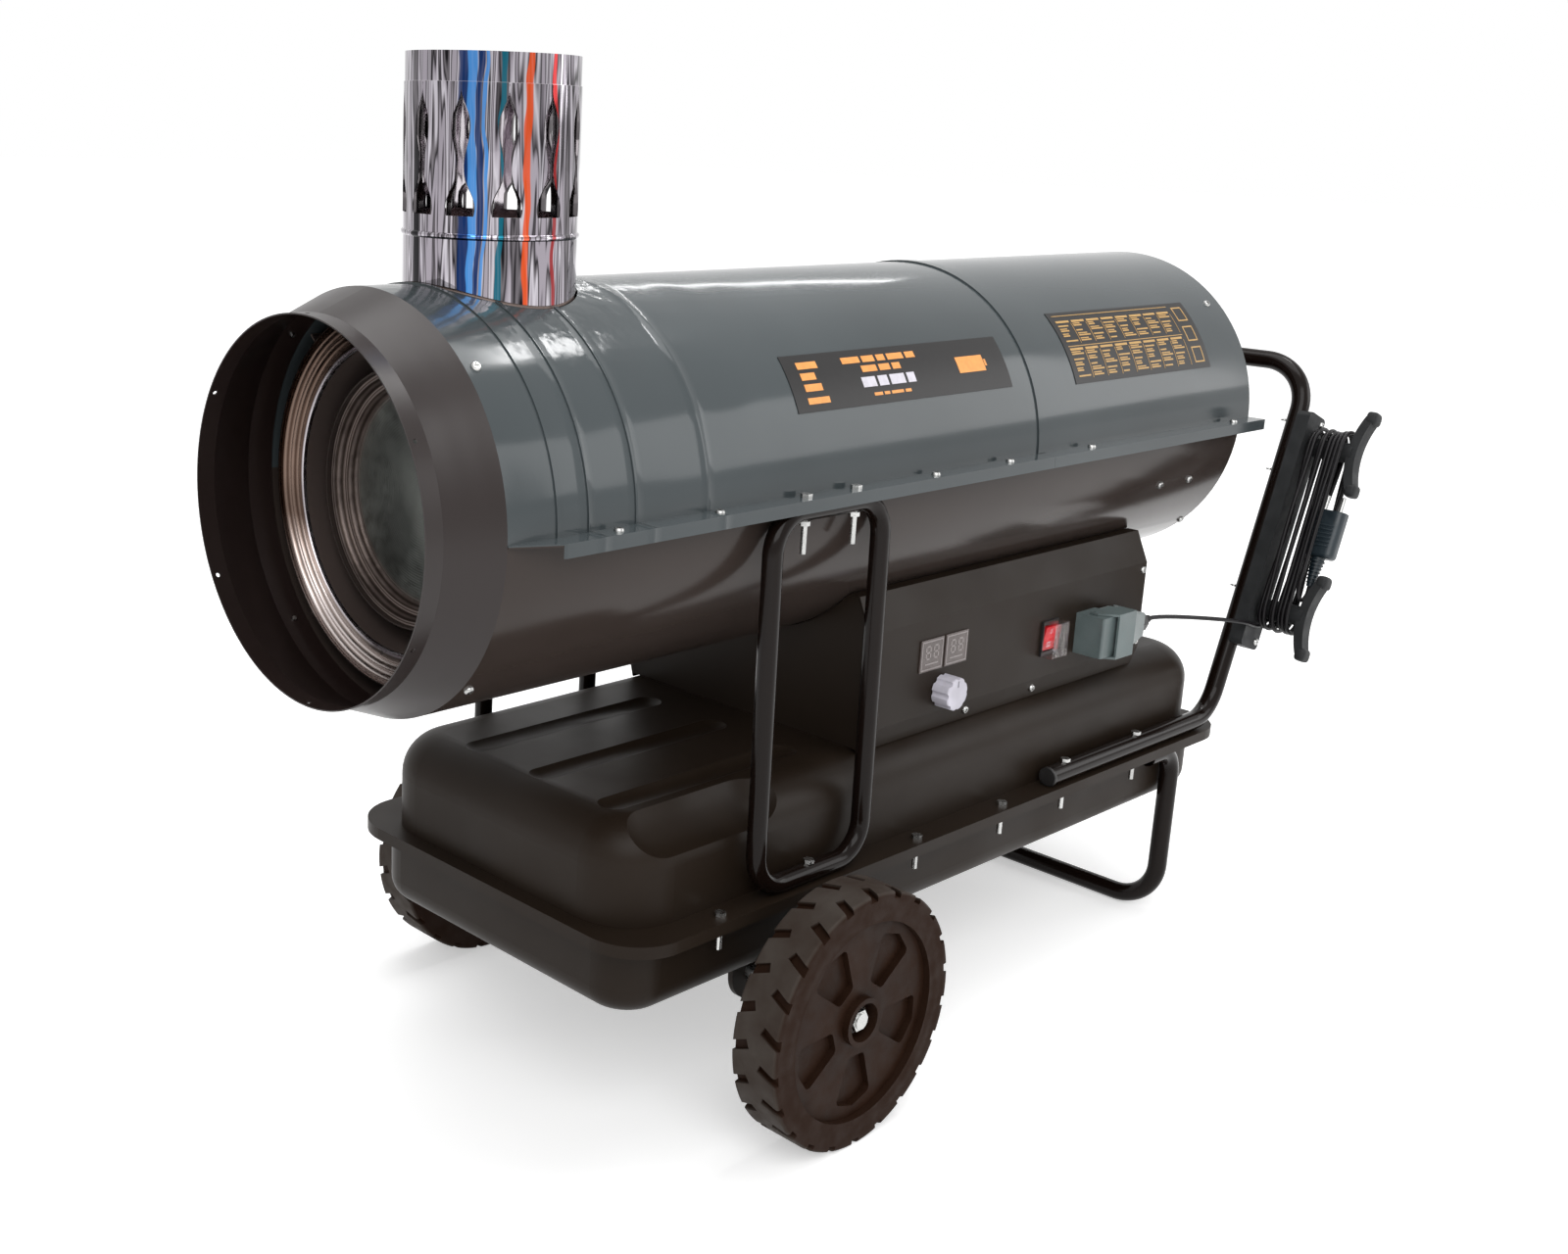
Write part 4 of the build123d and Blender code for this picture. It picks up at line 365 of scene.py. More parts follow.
def ridged_steel():
    """Heat-tinted stainless, ringed and dull inside; at its front, painted light: a painted reflection that
    pales it towards the bottom, painted highlights on its ring crests and a painted highlight line round its
    lip.
    """
    look = Look("heat_steel", (0.25, 0.19, 0.16), 0.3, metallic=1.0)
    rings = look.rings(110, "X", drum_centre, 0.03)
    distance = look.distance((0, 1, 1), drum_centre)
    ridged = look.math("MULTIPLY", look.spread(distance, 0, 1, *ridges_start), rings)
    station, _, height = look.axes(drum_centre)
    # Painted reflection: the front ring turns pale towards its bottom, along a wavy edge.
    waver = look.math("MULTIPLY", look.noise(11, detail=1.0), 60 * mm)
    drift = look.spread(look.math("ADD", height, waver), 1, 0, *reflection_heights)
    # In both tones the ring crests are paler, a painted highlight along the ridges.
    brown = look.blend(ridged, (0.050, 0.030, 0.022), (0.15, 0.105, 0.085))
    pale = look.blend(ridged, (0.20, 0.16, 0.14), (0.66, 0.59, 0.57))
    # Painted highlight: a thin light line round the front lip, in a pale lilac.
    edge = look.spread(distance, 1, 0, *lip_outer)
    lip_highlight = look.math("MULTIPLY", edge, look.spread(distance, 0, 1, *lip_inner))
    front = look.blend(lip_highlight, look.blend(drift, brown, pale), (0.66, 0.62, 0.66))
    deep = look.spread(station, 0, 1, *inside_start)
    look.tint(look.blend(deep, front, (0.20, 0.155, 0.14)))
    dulled = look.math("MAXIMUM", look.spread(look.noise(60), 0.2, 0.32), look.math("MULTIPLY", deep, 0.6))
    look.join(dulled, look.shader.inputs["Roughness"])
    return look.relief(ridged, 0.8 * mm, 0.35)


def dished_steel():
    """Grey-green dished front, bronze towards its ridged rim."""
    look = Look("dish_steel", (0.125, 0.132, 0.122), 0.4, metallic=0.9)
    rim = look.spread(look.distance((0, 1, 1), drum_centre), 0, 1, *dish_rim)
    rings = look.rings(130, "X", drum_centre, 0.03)
    bronze = look.blend(rings, (0.055, 0.040, 0.032), (0.23, 0.185, 0.17))
    clouds = look.spread(look.noise(14), 0, 1)
    grey = look.blend(clouds, look.tone(0.55), look.tone(1.25))
    look.tint(look.blend(rim, grey, bronze)).polish(90, 0.3, 0.46)
    return look.relief(rings, 0.5 * mm, 0.2).bump(60, 0.8 * mm, strength=0.25)


def clear_vinyl():
    """Soft clear cover, a little cloudy, that lets the red switch show."""
    look = Look("clear_cover", (0.86, 0.66, 0.66), 0.24, specular=0.3)
    for socket, value in (("Transmission Weight", 1.0), ("IOR", 1.15), ("Alpha", 0.35)):
        look.shader.inputs[socket].default_value = value
    look.mottle(90, 0.8, 1.1)
    return look.bump(300, 0.2 * mm, strength=0.1).bump(160, 0.6 * mm, (1, 1, 0.1), strength=0.15)


def make_looks():
    """Every finish by its name."""
    looks = {
        "casing_paint": casing_paint(),
        # The lower shell has the casing's slate paint; this darker, browner copy of it is painted shade and
        # floor reflection under the drum.
        "shell_paint": painted("shell_paint", (0.040, 0.030, 0.026), 0.16, specular=0.16, waves=0.16),
        "cone_paint": painted("cone_paint", (0.015, 0.009, 0.008), 0.32, specular=0.38, waves=0.05),
        "tank_paint": painted("tank_paint", (0.016, 0.0105, 0.007), 0.42, specular=0.12, waves=0.06),
        "tube_gloss": painted("tube_gloss", (0.007, 0.004, 0.003), 0.14, specular=0.15, waves=0.02),
        "stainless_mirror": mirror_stainless(),
        "heat_steel": ridged_steel(),
        "dish_steel": dished_steel(),
        "dark_steel": painted("dark_steel", (0.030, 0.021, 0.018), 0.5, specular=0.3, waves=0.02),
        # Dark copy of the flue's stainless, for its flaps: painted shade inside the slots.
        "flap_steel_painted_shade": metal("flap_steel_painted_shade", (0.12, 0.11, 0.115), 0.12, scale=60),
        "zinc": metal("zinc", (0.50, 0.50, 0.49), 0.26),
        "motor_alloy": metal("motor_alloy", (0.42, 0.43, 0.44), 0.4, scale=120),
        "brass": metal("brass", (0.70, 0.50, 0.22), 0.28),
        "tyre_rubber": tyre_rubber(),
        "hub_plastic": moulded("hub_plastic", (0.020, 0.009, 0.005), 0.5, specular=0.08),
        "store_plastic": moulded("store_plastic", (0.026, 0.027, 0.028), 0.5, specular=0.12),
        "cord_black": moulded("cord_black", (0.006, 0.005, 0.006), 0.34, grain=1500, specular=0.2),
        "plug_plastic": moulded("plug_plastic", (0.010, 0.018, 0.024), 0.36),
        "connector_grey": moulded("connector_grey", (0.105, 0.135, 0.135), 0.42),
        "hood_grey": moulded("hood_grey", (0.20, 0.225, 0.225), 0.42),
        "knob_grey": moulded("knob_grey", (0.58, 0.56, 0.63), 0.36),
        "display_plastic": moulded("display_plastic", (0.085, 0.065, 0.060), 0.25),
        "switch_red": moulded("switch_red", (0.62, 0.02, 0.03), 0.25),
        "black_plastic": moulded("black_plastic", (0.014, 0.013, 0.013), 0.45),
        "board_green": moulded("board_green", (0.03, 0.16, 0.06), 0.4),
        "label_film": printed("label_film", (0.011, 0.010, 0.010)),
        "clear_cover": clear_vinyl(),
    }
    cone = looks["cone_paint"]
    cone.relief(cone.rings(40, "X", drum_centre, 0.3), 0.2 * mm, 0.2)
    looks |= {
        "orange_ink": printed("orange_ink", (0.80, 0.33, 0.09)),
        "gold_ink": printed("gold_ink", (0.50, 0.30, 0.10)),
        "white_ink": printed("white_ink", (0.62, 0.60, 0.66)),
        "display_ink": printed("display_ink", (0.27, 0.24, 0.235)),
        "pointer_grey": moulded("pointer_grey", (0.16, 0.16, 0.19), 0.4),
    }
    return {name: look.material for name, look in looks.items()}


looks = make_looks()


# Node trees for what repeats

class Tree:
    """A geometry node group with named sizes, and the short steps that build it."""

    def __init__(self, name, sizes):
        self.group = bpy.data.node_groups.new(name, "GeometryNodeTree")
        self.keys = {}
        sockets = self.group.interface
        sockets.new_socket("Geometry", in_out="INPUT", socket_type="NodeSocketGeometry")
        for label, kind in (*sizes, ("Finish", "Material")):
            socket = sockets.new_socket(label, in_out="INPUT", socket_type="NodeSocket" + kind)
            self.keys[label] = socket.identifier
        sockets.new_socket("Geometry", in_out="OUTPUT", socket_type="NodeSocketGeometry")
        self.source = self.group.nodes.new("NodeGroupInput")
        self.sink = self.group.nodes.new("NodeGroupOutput")

    def size(self, label):
        return self.source.outputs[label]

    def add(self, kind, inputs, **settings):
        """New node; each input takes a value, an output, or a list of outputs."""
        node = self.group.nodes.new(kind)
        for name, value in settings.items():
            setattr(node, name, value)
        for key, value in inputs.items():
            for one in value if isinstance(value, list) else [value]:
                if isinstance(one, bpy.types.NodeSocket):
                    self.group.links.new(one, node.inputs[key])
                else:
                    node.inputs[key].default_value = one
        return node.outputs[0]

    def math(self, operation, first, second):
        return self.add("ShaderNodeMath", {0: first, 1: second}, operation=operation)

    def vector(self, x, y, z):
        return self.add("ShaderNodeCombineXYZ", {0: x, 1: y, 2: z})

    def moved(self, geometry, shift=(0, 0, 0), scale=(1, 1, 1)):
        return self.add("GeometryNodeTransform", {"Geometry": geometry, "Translation": shift, "Scale": scale})

    def finish(self, instances):
        real = self.add("GeometryNodeRealizeInstances", {"Geometry": instances})
        done = self.add("GeometryNodeSetMaterial", {"Geometry": real, "Material": self.size("Finish")})
        self.group.links.new(done, self.sink.inputs[0])
        return self


dome_heights = 1.5
slab_radii = 3.0
recess_radii = 1.25


def screw_tree():
    """Pan heads with a cross recess and a shank, one on each point, looking along its facing."""
    labels = ("Head Radius", "Head Height", "Recess Width", "Shank Radius", "Shank Length")
    tree = Tree("cross_screws", [(label, "Float") for label in labels])
    radius, height, width, shank_girth, length = [tree.size(label) for label in labels]
    ball = tree.add("GeometryNodeMeshUVSphere", {"Segments": 24, "Rings": 16, "Radius": 1.0})
    rise = tree.math("MULTIPLY", height, dome_heights)
    dome = tree.moved(ball, scale=tree.vector(radius, radius, rise))
    wide = tree.math("MULTIPLY", radius, slab_radii)
    slab = tree.add("GeometryNodeMeshCube", {"Size": tree.vector(wide, wide, height)})
    lifted = tree.moved(slab, tree.vector(0.0, 0.0, tree.math("MULTIPLY", height, 0.5)))
    head = tree.add("GeometryNodeMeshBoolean", {1: [dome, lifted]}, operation="INTERSECT")
    reach = tree.math("MULTIPLY", radius, recess_radii)
    top = tree.vector(0.0, 0.0, height)
    bars = [tree.moved(tree.add("GeometryNodeMeshCube", {"Size": tree.vector(x, y, height)}), top)
            for x, y in ((reach, width), (width, reach))]
    crossed = tree.add("GeometryNodeMeshBoolean", {0: head, 1: bars}, operation="DIFFERENCE")
    rod = tree.add("GeometryNodeMeshCylinder", {"Vertices": 12, "Radius": shank_girth, "Depth": length})
    shank = tree.moved(rod, tree.vector(0.0, 0.0, tree.math("MULTIPLY", length, -0.5)))
    screw = tree.add("GeometryNodeJoinGeometry", {0: [crossed, shank]})
    facing = tree.add("GeometryNodeInputNamedAttribute", {"Name": "facing"}, data_type="FLOAT_VECTOR")
    spin = tree.add("GeometryNodeInputNamedAttribute", {"Name": "spin"}, data_type="FLOAT")
    aim = tree.add("FunctionNodeAlignRotationToVector", {"Vector": facing}, axis="Z")
    screws = tree.add("GeometryNodeInstanceOnPoints",
                      {"Points": tree.size("Geometry"), "Instance": screw, "Rotation": aim})
    return tree.finish(tree.add("GeometryNodeRotateInstances",
                                {"Instances": screws, "Rotation": tree.vector(0.0, 0.0, spin)}))


def ring_tree():
    """Copies of the piece turned about an axis through a centre."""
    tree = Tree("ring_of_copies", (("Count", "Int"), ("Centre", "Vector"), ("Axis", "Vector")))
    points = tree.add("GeometryNodePoints", {"Count": tree.size("Count"), "Position": tree.size("Centre")})
    index = tree.add("GeometryNodeInputIndex", {})
    angle = tree.math("DIVIDE", tree.math("MULTIPLY", index, 2 * pi), tree.size("Count"))
    turn = tree.add("FunctionNodeAxisAngleToRotation", {"Axis": tree.size("Axis"), "Angle": angle})
    return tree.finish(tree.add("GeometryNodeInstanceOnPoints",
                                {"Points": points, "Instance": tree.size("Geometry"), "Rotation": turn}))


def row_tree():
    """Copies of the piece in a row, growing or shrinking towards the last one."""
    tree = Tree("row_of_copies", (("Count", "Int"), ("Start", "Vector"), ("Step", "Vector"),
                                  ("Last Scale", "Float")))
    index = tree.add("GeometryNodeInputIndex", {})
    place = tree.add("ShaderNodeVectorMath", {0: index, 1: tree.size("Step"), 2: tree.size("Start")},
                     operation="MULTIPLY_ADD")
    points = tree.add("GeometryNodePoints", {"Count": tree.size("Count"), "Position": place})
    share = tree.math("DIVIDE", index, tree.math("SUBTRACT", tree.size("Count"), 1.0))
    growth = tree.math("SUBTRACT", tree.size("Last Scale"), 1.0)
    scale = tree.math("ADD", tree.math("MULTIPLY", share, growth), 1.0)
    return tree.finish(tree.add("GeometryNodeInstanceOnPoints",
                                {"Points": points, "Instance": tree.size("Geometry"), "Scale": scale}))


cross_screws = screw_tree()
ring_of_copies = ring_tree()
row_of_copies = row_tree()


# Mesh helpers

def grown(name, seed, tree, finish, sizes):
    """Plain mesh that a node tree makes from the seed mesh."""
    maker = bpy.data.objects.new(name, seed)
    bpy.context.scene.collection.objects.link(maker)
    modifier = maker.modifiers.new("grow", "NODES")
    modifier.node_group = tree.group
    for label, value in {**sizes, "Finish": looks[finish]}.items():
        modifier[tree.keys[label]] = value
    mesh = bpy.data.meshes.new_from_object(maker.evaluated_get(bpy.context.evaluated_depsgraph_get()))
    maker.modifiers.remove(modifier)
    bpy.data.objects.remove(maker)
    return mesh


same_place = 0.001 * mm


def closed_mesh(name, build):
    """Mesh from a bmesh filled by the given function, with its faces turned outwards."""
    shape = bmesh.new()
    build(shape)
    bmesh.ops.remove_doubles(shape, verts=shape.verts, dist=same_place)
    bmesh.ops.recalc_face_normals(shape, faces=shape.faces)
    mesh = bpy.data.meshes.new(name)
    shape.to_mesh(mesh)
    shape.free()
    return mesh


def add_piece(name, mesh, body, slot, finish=None, crease=radians(35)):
    """Links a finished mesh as a piece that rides on a body, smooth where its faces meet gently."""
    shape = bmesh.new()
    shape.from_mesh(mesh)
    for edge in shape.edges:
        edge.smooth = len(edge.link_faces) == 2 and edge.calc_face_angle(0) < crease
    for face in shape.faces:
        face.smooth = True
    shape.to_mesh(mesh)
    shape.free()
    piece = bpy.data.objects.new(name, mesh)
    bpy.context.scene.collection.objects.link(piece)
    mesh.materials.clear()
    mesh.materials.append(looks[finish or slot])
    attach(piece, body)
    return piece


def tube_rings(shape, rings):
    """Closed skin over rings of corners, each ring a list of places in the same order."""
    loops = [[shape.verts.new(place) for place in ring] for ring in rings]
    for first, second in zip(loops, loops[1:]):
        for index, corner in enumerate(first):
            other = (index + 1) % len(first)
            shape.faces.new((corner, first[other], second[other], second[index]))
    shape.faces.new(reversed(loops[0]))
    shape.faces.new(loops[-1])


def add_bar(shape, start, end, side, lift, rounding=0.35):
    """Bar from start to end: side and lift are its half width and half height, its corners cut."""
    keep = 1 - rounding
    places = ((1, keep), (keep, 1), (-keep, 1), (-1, keep), (-1, -keep), (-keep, -1), (keep, -1), (1, -keep))
    corners = [side * x + lift * y for x, y in places]
    tube_rings(shape, [[start + corner for corner in corners], [end + corner for corner in corners]])


def torus_mesh(name, axis, radius, wire, around=32, section=8):
    """Ring about an axis through the origin."""
    out = axis.orthogonal().normalized()
    along = axis.cross(out)

    def build(shape):
        loops = []
        for step in range(around):
            turn = 2 * pi * step / around
            spoke = out * cos(turn) + along * sin(turn)
            loops.append([shape.verts.new(spoke * (radius + wire * cos(a)) + axis * wire * sin(a))
                          for a in [2 * pi * index / section for index in range(section)]])
        for first, second in zip(loops, loops[1:] + loops[:1]):
            for index, corner in enumerate(first):
                other = (index + 1) % section
                shape.faces.new((corner, first[other], second[other], second[index]))

    return closed_mesh(name, build)


def finish_nodes(left_out):
    """Gives every kept CAD node the finish that the record names."""
    for part in frame["record"]["subparts"]:
        name, slot = part["node"], part["material_slot"]
        if name in left_out:
            continue
        node = frame["nodes"][name]
        node.data.materials.clear()
        node.data.materials.append(looks[slot])


# Mains cable: out of the gland, across to the handle, eight turns around the pegs and into the plug

cord_radius = 2.5 * mm
cord_turns = 8
cord_pitch = 5.6 * mm
cord_seat = 4.0 * mm
loop_radius = 17.6 * mm
back_extra = 1.0 * mm
back_loop_slack = 4.0 * mm
front_loop_slack = 8.0 * mm
last_front = 27.0 * mm
back_run_slack = 8.5 * mm
front_run_slack = 8.0 * mm
back_loop_pace, front_loop_pace, back_run_pace, front_run_pace = 1.9, 1.3, 2.3, 2.9
front_loop_phase, front_run_phase = 0.6, 1
loop_steps = 4
plug_start = 184 * mm
plug_across = 17 * mm
plug_depth = 265 * mm
entry_run = 22 * mm
entry_lift = 3.1 * mm
gland_tip = at(1049 * mm, -184 * mm, 385 * mm)


def loop_points(centre, near, far, start, from_y, to_y):
    """Control points round half a turn, whose radius drifts from near to far."""
    points = []
    for index in range(loop_steps):
        share = (index + 0.5) / loop_steps
        angle = start + pi * share
        radius = (near + (far - near) * share) / cos(pi / loop_steps / 2)
        points.append(on_handle(centre[0] + radius * sin(angle), centre[1] + radius * cos(angle),
                                from_y + (to_y - from_y) * share))
    return points


def run_points(across, start, stop, from_y, to_y, slack=0.0):
    """One run between the pegs, slack in its middle."""
    points = []
    for share, bow in ((0.12, 0.0), (0.34, slack), (0.62, slack), (0.88, 0.0)):
        y = from_y + (to_y - from_y) * share
        points.append(on_handle(start + (stop - start) * share, across + bow, y))
    return points


def cord_route():
    """Control points from the gland to the plug. Each turn's loops and runs are a little uneven."""
    y = -store_face - entry_lift
    low = peg_low - loop_radius - front_loop_slack
    points = [gland_tip, gland_tip + Vector((entry_run, 0, 0)), on_handle(low, -store_front - entry_run, y),
              on_handle(low, peg_offset - loop_radius / 2, y)]
    first = -store_face - cord_seat
    quarter = cord_pitch / 4
    front_before = None
    for turn in range(cord_turns):
        y = first - turn * cord_pitch
        back = loop_radius + back_extra + back_loop_slack * abs(sin(back_loop_pace * turn))
        front = loop_radius + front_loop_slack * abs(sin(front_loop_pace * turn + front_loop_phase))
        back_bow = back_run_slack * sin(back_run_pace * turn)
        bow = front_run_slack * sin(front_run_pace * turn + front_run_phase)
        stop = peg_low
        if turn == cord_turns - 1:
            front, bow, stop = last_front, 0, plug_start
        if front_before is None:
            points += loop_points((peg_low, peg_offset), back, back, pi, y, y)[loop_steps // 2:]
        else:
            points += loop_points((peg_low, peg_offset), front_before, back, pi, y + quarter, y)
        points += run_points(peg_offset + back, peg_low, peg_high, y, y - quarter, back_bow)
        points += loop_points((peg_high, peg_offset), back, front, 0, y - quarter, y - quarter * 2)
        points += run_points(peg_offset - front, peg_high, stop, y - quarter * 2, y - quarter * 3, bow)
        front_before = front
    level = plug_start - cord_radius * 2
    middle = (peg_offset - last_front + plug_across) / 2
    half = plug_across - middle
    points += loop_points((level, middle), half, half, pi, y - quarter * 3, -plug_depth)
    points += [on_handle(level, plug_across, -plug_depth), on_handle(plug_start, plug_across, -plug_depth)]
    return points


def make_cord():
    """The cable as one smooth line, in place of its solids."""
    data = bpy.data.curves.new("mains_cord", "CURVE")
    data.dimensions = "3D"
    route = cord_route()
    spline = data.splines.new("NURBS")
    spline.points.add(len(route) - 1)
    for point, place in zip(spline.points, route):
        point.co = (*place, 1)
    spline.order_u = 3
    spline.use_endpoint_u = True
    spline.resolution_u = 6
    data.bevel_depth = cord_radius
    data.bevel_resolution = 3
    data.use_fill_caps = True
    cord = bpy.data.objects.new("mains_cord", data)
    bpy.context.scene.collection.objects.link(cord)
    data.materials.append(looks["cord_black"])
    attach(cord, "heater")
    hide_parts("cord_free", "cord_winding")
    return cord


make_camera()
mains_cord = make_cord()
finish_nodes(("cord_free", "cord_winding", "casing_screws", "panel_screws"))


# Screws

head_radius = 4.4 * mm
head_height = 2.6 * mm
shank_radius = 2 * mm
shank_length = 4.8 * mm
recess_width = 1.1 * mm
screw_lift = 0.05 * mm
screw_turn = 0.7
sheet_screw_angles = (46, 134, 226, 314)
cradle_screw_angles = (-78, -102)
outlet_screw_station = 75.3 * mm
guard_screw_station = 1202.5 * mm
cradle_screw_stations = (994.5 * mm, 1084.5 * mm)
shell_screw_stations = (1063 * mm, 1128 * mm)
shell_screw_angles = (-21, 201)
flange_screw_shares = (0.093, 0.195, 0.455, 0.561, 0.69, 0.9515)
flange_screw_offset = 193.1 * mm
panel_screw_inset = 8 * mm
foot_screw_stations = (727 * mm, 851 * mm)
foot_screw_height = 333 * mm
foot_slope = Vector((0, -22.6, -7)).normalized()
store_screw_alongs = (104 * mm, 381 * mm)
store_screw_across = 23 * mm


def screw_places():
    """Every screw's seat and the way that it looks."""
    places = []
    for stations, angles in (((outlet_screw_station, guard_screw_station), sheet_screw_angles),
                             (cradle_screw_stations, cradle_screw_angles),
                             (shell_screw_stations, shell_screw_angles)):
        for station in stations:
            for angle in angles:
                seat = on_drum(station, radians(angle), drum_radius + screw_lift)
                places.append((seat, seat - on_drum(station, 0, 0)))
    for share in flange_screw_shares:
        station = casing_start + share * (casing_end - casing_start)
        for side in (-1, 1):
            seat = at(station, side * flange_screw_offset, drum_height + casing_wall)
            places.append((seat, Vector((0, 0, 1))))
    for side in (-1, 1):
        for station in (box_front + panel_screw_inset, box_back - panel_screw_inset):
            for height in (panel_foot + panel_screw_inset, panel_crease - panel_screw_inset):
                places.append((at(station, -side * panel_face, height), Vector((0, side, 0))))
        for station in foot_screw_stations:
            drop = (panel_foot - foot_screw_height) * foot_slope.z / foot_slope.y
            way = Vector((0, -side * foot_slope.y, foot_slope.z))
            places.append((at(station, side * (-panel_face - drop), foot_screw_height), way))
    for along in store_screw_alongs:
        places.append((on_handle(along, store_screw_across, -store_face), Vector((0, -1, 0))))
    return places


def make_screws():
    """Cross-headed screws, in place of the plain ones."""
    places = screw_places()
    seed = bpy.data.meshes.new("screw_points")
    seed.from_pydata([seat for seat, way in places], [], [])
    facing = seed.attributes.new("facing", "FLOAT_VECTOR", "POINT")
    facing.data.foreach_set("vector", [value for seat, way in places for value in way.normalized()])
    spin = seed.attributes.new("spin", "FLOAT", "POINT")
    spin.data.foreach_set("value", [screw_turn * index for index in range(len(places))])
    mesh = grown("screws", seed, cross_screws, "zinc",
                 {"Head Radius": head_radius, "Head Height": head_height, "Shank Radius": shank_radius,
                  "Shank Length": shank_length, "Recess Width": recess_width})
    screws = add_piece("cross_screws", mesh, "heater", "zinc")
    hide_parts("casing_screws", "panel_screws")


screw_tip_alongs = (164 * mm, 314 * mm, 377 * mm)
screw_tip_sides = 12
screw_tip_outline = ((-3.0, 2.0), (1.0, 2.0), (2.0, 1.5), (3.0, 1.9), (4.0, 1.2), (5.0, 1.5), (9.0, 0.1))


def make_screw_tips():
    """Points of the cable store's screws, which come through the handle leg.

    Their outline is (reach past the tube's wall, radius) in millimetres.
    """
    turns = [2 * pi * index / screw_tip_sides for index in range(screw_tip_sides)]

    def build(shape):
        for along in screw_tip_alongs:
            rings = []
            for reach, radius in screw_tip_outline:
                centre = on_handle(along, 0, -handle_offset + handle_radius + reach * mm)
                rings.append([centre + (up_handle * cos(turn) + across_handle * sin(turn)) * radius * mm
                              for turn in turns])
            tube_rings(shape, rings)
    add_piece("store_screw_tips", closed_mesh("store_screw_tips", build), "heater", "zinc")


cleat_depth = 48 * mm
cleat_half_length = 46 * mm
cleat_half_width = 10 * mm
cleat_thickness = 11 * mm
cleat_flare = 10 * mm
lobe_half_length = 8 * mm
lobe_half_width = cleat_half_width + 0.8 * mm
lobe_half_thickness = cleat_thickness / 2 + 1 * mm
lobe_inset = 1 * mm
lobe_squareness = 4


def make_cleat_lobes():
    """Rounded lobes on the tips of the cable store's two cleats."""
    def build(shape):
        for peg in (peg_low, peg_high):
            for side in (-1, 1):
                middle = on_handle(peg + side * (cleat_half_length - lobe_inset), peg_offset,
                                   -store_face - cleat_depth - cleat_flare - cleat_thickness / 2)
                lobe = bmesh.ops.create_uvsphere(shape, u_segments=28, v_segments=16, radius=1)["verts"]
                for corner in lobe:
                    along, across, out = corner.co
                    size = sum(abs(value) ** lobe_squareness for value in corner.co) ** (1 / lobe_squareness)
                    corner.co = (middle + up_handle * along / size * lobe_half_length
                                 + across_handle * across / size * lobe_half_width
                                 + Vector((0, out / size * lobe_half_thickness, 0)))
    add_piece("cleat_lobes", closed_mesh("cleat_lobes", build), "heater", "store_plastic")


make_screws()
make_screw_tips()
make_cleat_lobes()


# Flue flaps, cut from the louvres and curled inwards

def louvre_half_width(share):
    """Half the slot's width at a share of its length from the top."""
    for (low, before), (high, after) in zip(louvre_shares, louvre_shares[1:]):
        if share <= high:
            step = (share - low) / (high - low)
            return (before + (after - before) * step * step * (3 - 2 * step)) * louvre_width / 2
    return louvre_width / 2


flap_rows = 22
flap_columns = 5
flap_share = 0.8
flap_first_bend = radians(62)
flap_more_bend = radians(60)
flap_wall = flue_wall * 0.75


def make_flue_flaps():
    """Two flaps at each louvre, one on each side of its slot."""
    middle = flue_radius - flue_wall / 2

    def build(shape):
        for side in (-1, 1):
            grid = []
            for row in range(flap_rows + 1):
                share = row / flap_rows
                half = louvre_half_width(share)
                step = half * flap_share / flap_columns
                out, across = sqrt(middle ** 2 - half ** 2), half
                line = []
                for column in range(flap_columns + 1):
                    line.append(shape.verts.new((out, side * across, louvre_top - share * louvre_length)))
                    bend = flap_first_bend + flap_more_bend * column / flap_columns
                    out -= step * sin(bend)
                    across -= step * cos(bend)
                grid.append(line)
            faces = []
            for upper, lower in zip(grid, grid[1:]):
                for left in range(flap_columns):
                    corners = (upper[left], upper[left + 1], lower[left + 1], lower[left])
                    faces.append(shape.faces.new(corners))
            bmesh.ops.recalc_face_normals(shape, faces=faces)
            bmesh.ops.solidify(shape, geom=faces, thickness=flap_wall)

    seed = closed_mesh("flap", build)
    # The flaps are the pipe's own stainless; their dark finish is painted shade inside the slots.
    mesh = grown("flue_flaps", seed, ring_of_copies, "flap_steel_painted_shade",
                 {"Count": louvre_count, "Centre": flue_centre, "Axis": (0, 0, 1)})
    add_piece("flue_flaps", mesh, "heater", "stainless_mirror", "flap_steel_painted_shade", crease=radians(50))


make_flue_flaps()


# Label plates: plain print on the drum, without words

label_radius = 183.2 * mm
front_label_start = casing_start + 351.5 * mm
front_label_foot = radians(23)
rear_label_start = casing_start + 798.5 * mm
rear_label_foot = radians(21)
print_sink = 0.1 * mm
print_proud = 0.18 * mm
print_step = 5


def curved_print(name, start, foot, bars, finish):
    """Thin print on a label plate, from bars given as (along, up, length, height) in millimetres."""
    def build(shape):
        for along, up, length, height in bars:
            steps = max(1, ceil(height / print_step))
            rings = []
            for step in range(steps + 1):
                angle = foot + (up + height * step / steps) * mm / label_radius
                left, right = start + along * mm, start + (along + length) * mm
                low, high = label_radius - print_sink, label_radius + print_proud
                rings.append([on_drum(left, angle, low), on_drum(right, angle, low),
                              on_drum(right, angle, high), on_drum(left, angle, high)])
            tube_rings(shape, rings)
    add_piece(name, closed_mesh(name, build), "heater", "label_film", finish, crease=radians(20))


def framed(along, up, length, height, line):
    """Four bars round a plain frame."""
    between = height - line * 2
    return [(along, up, length, line), (along, up + height - line, length, line),
            (along, up + line, line, between), (along + length - line, up + line, line, between)]


def dashed(along, up, height, lengths, gap):
    """Row of plain dashes."""
    bars = []
    for length in lengths:
        bars.append((along, up, length, height))
        along += length + gap
    return bars


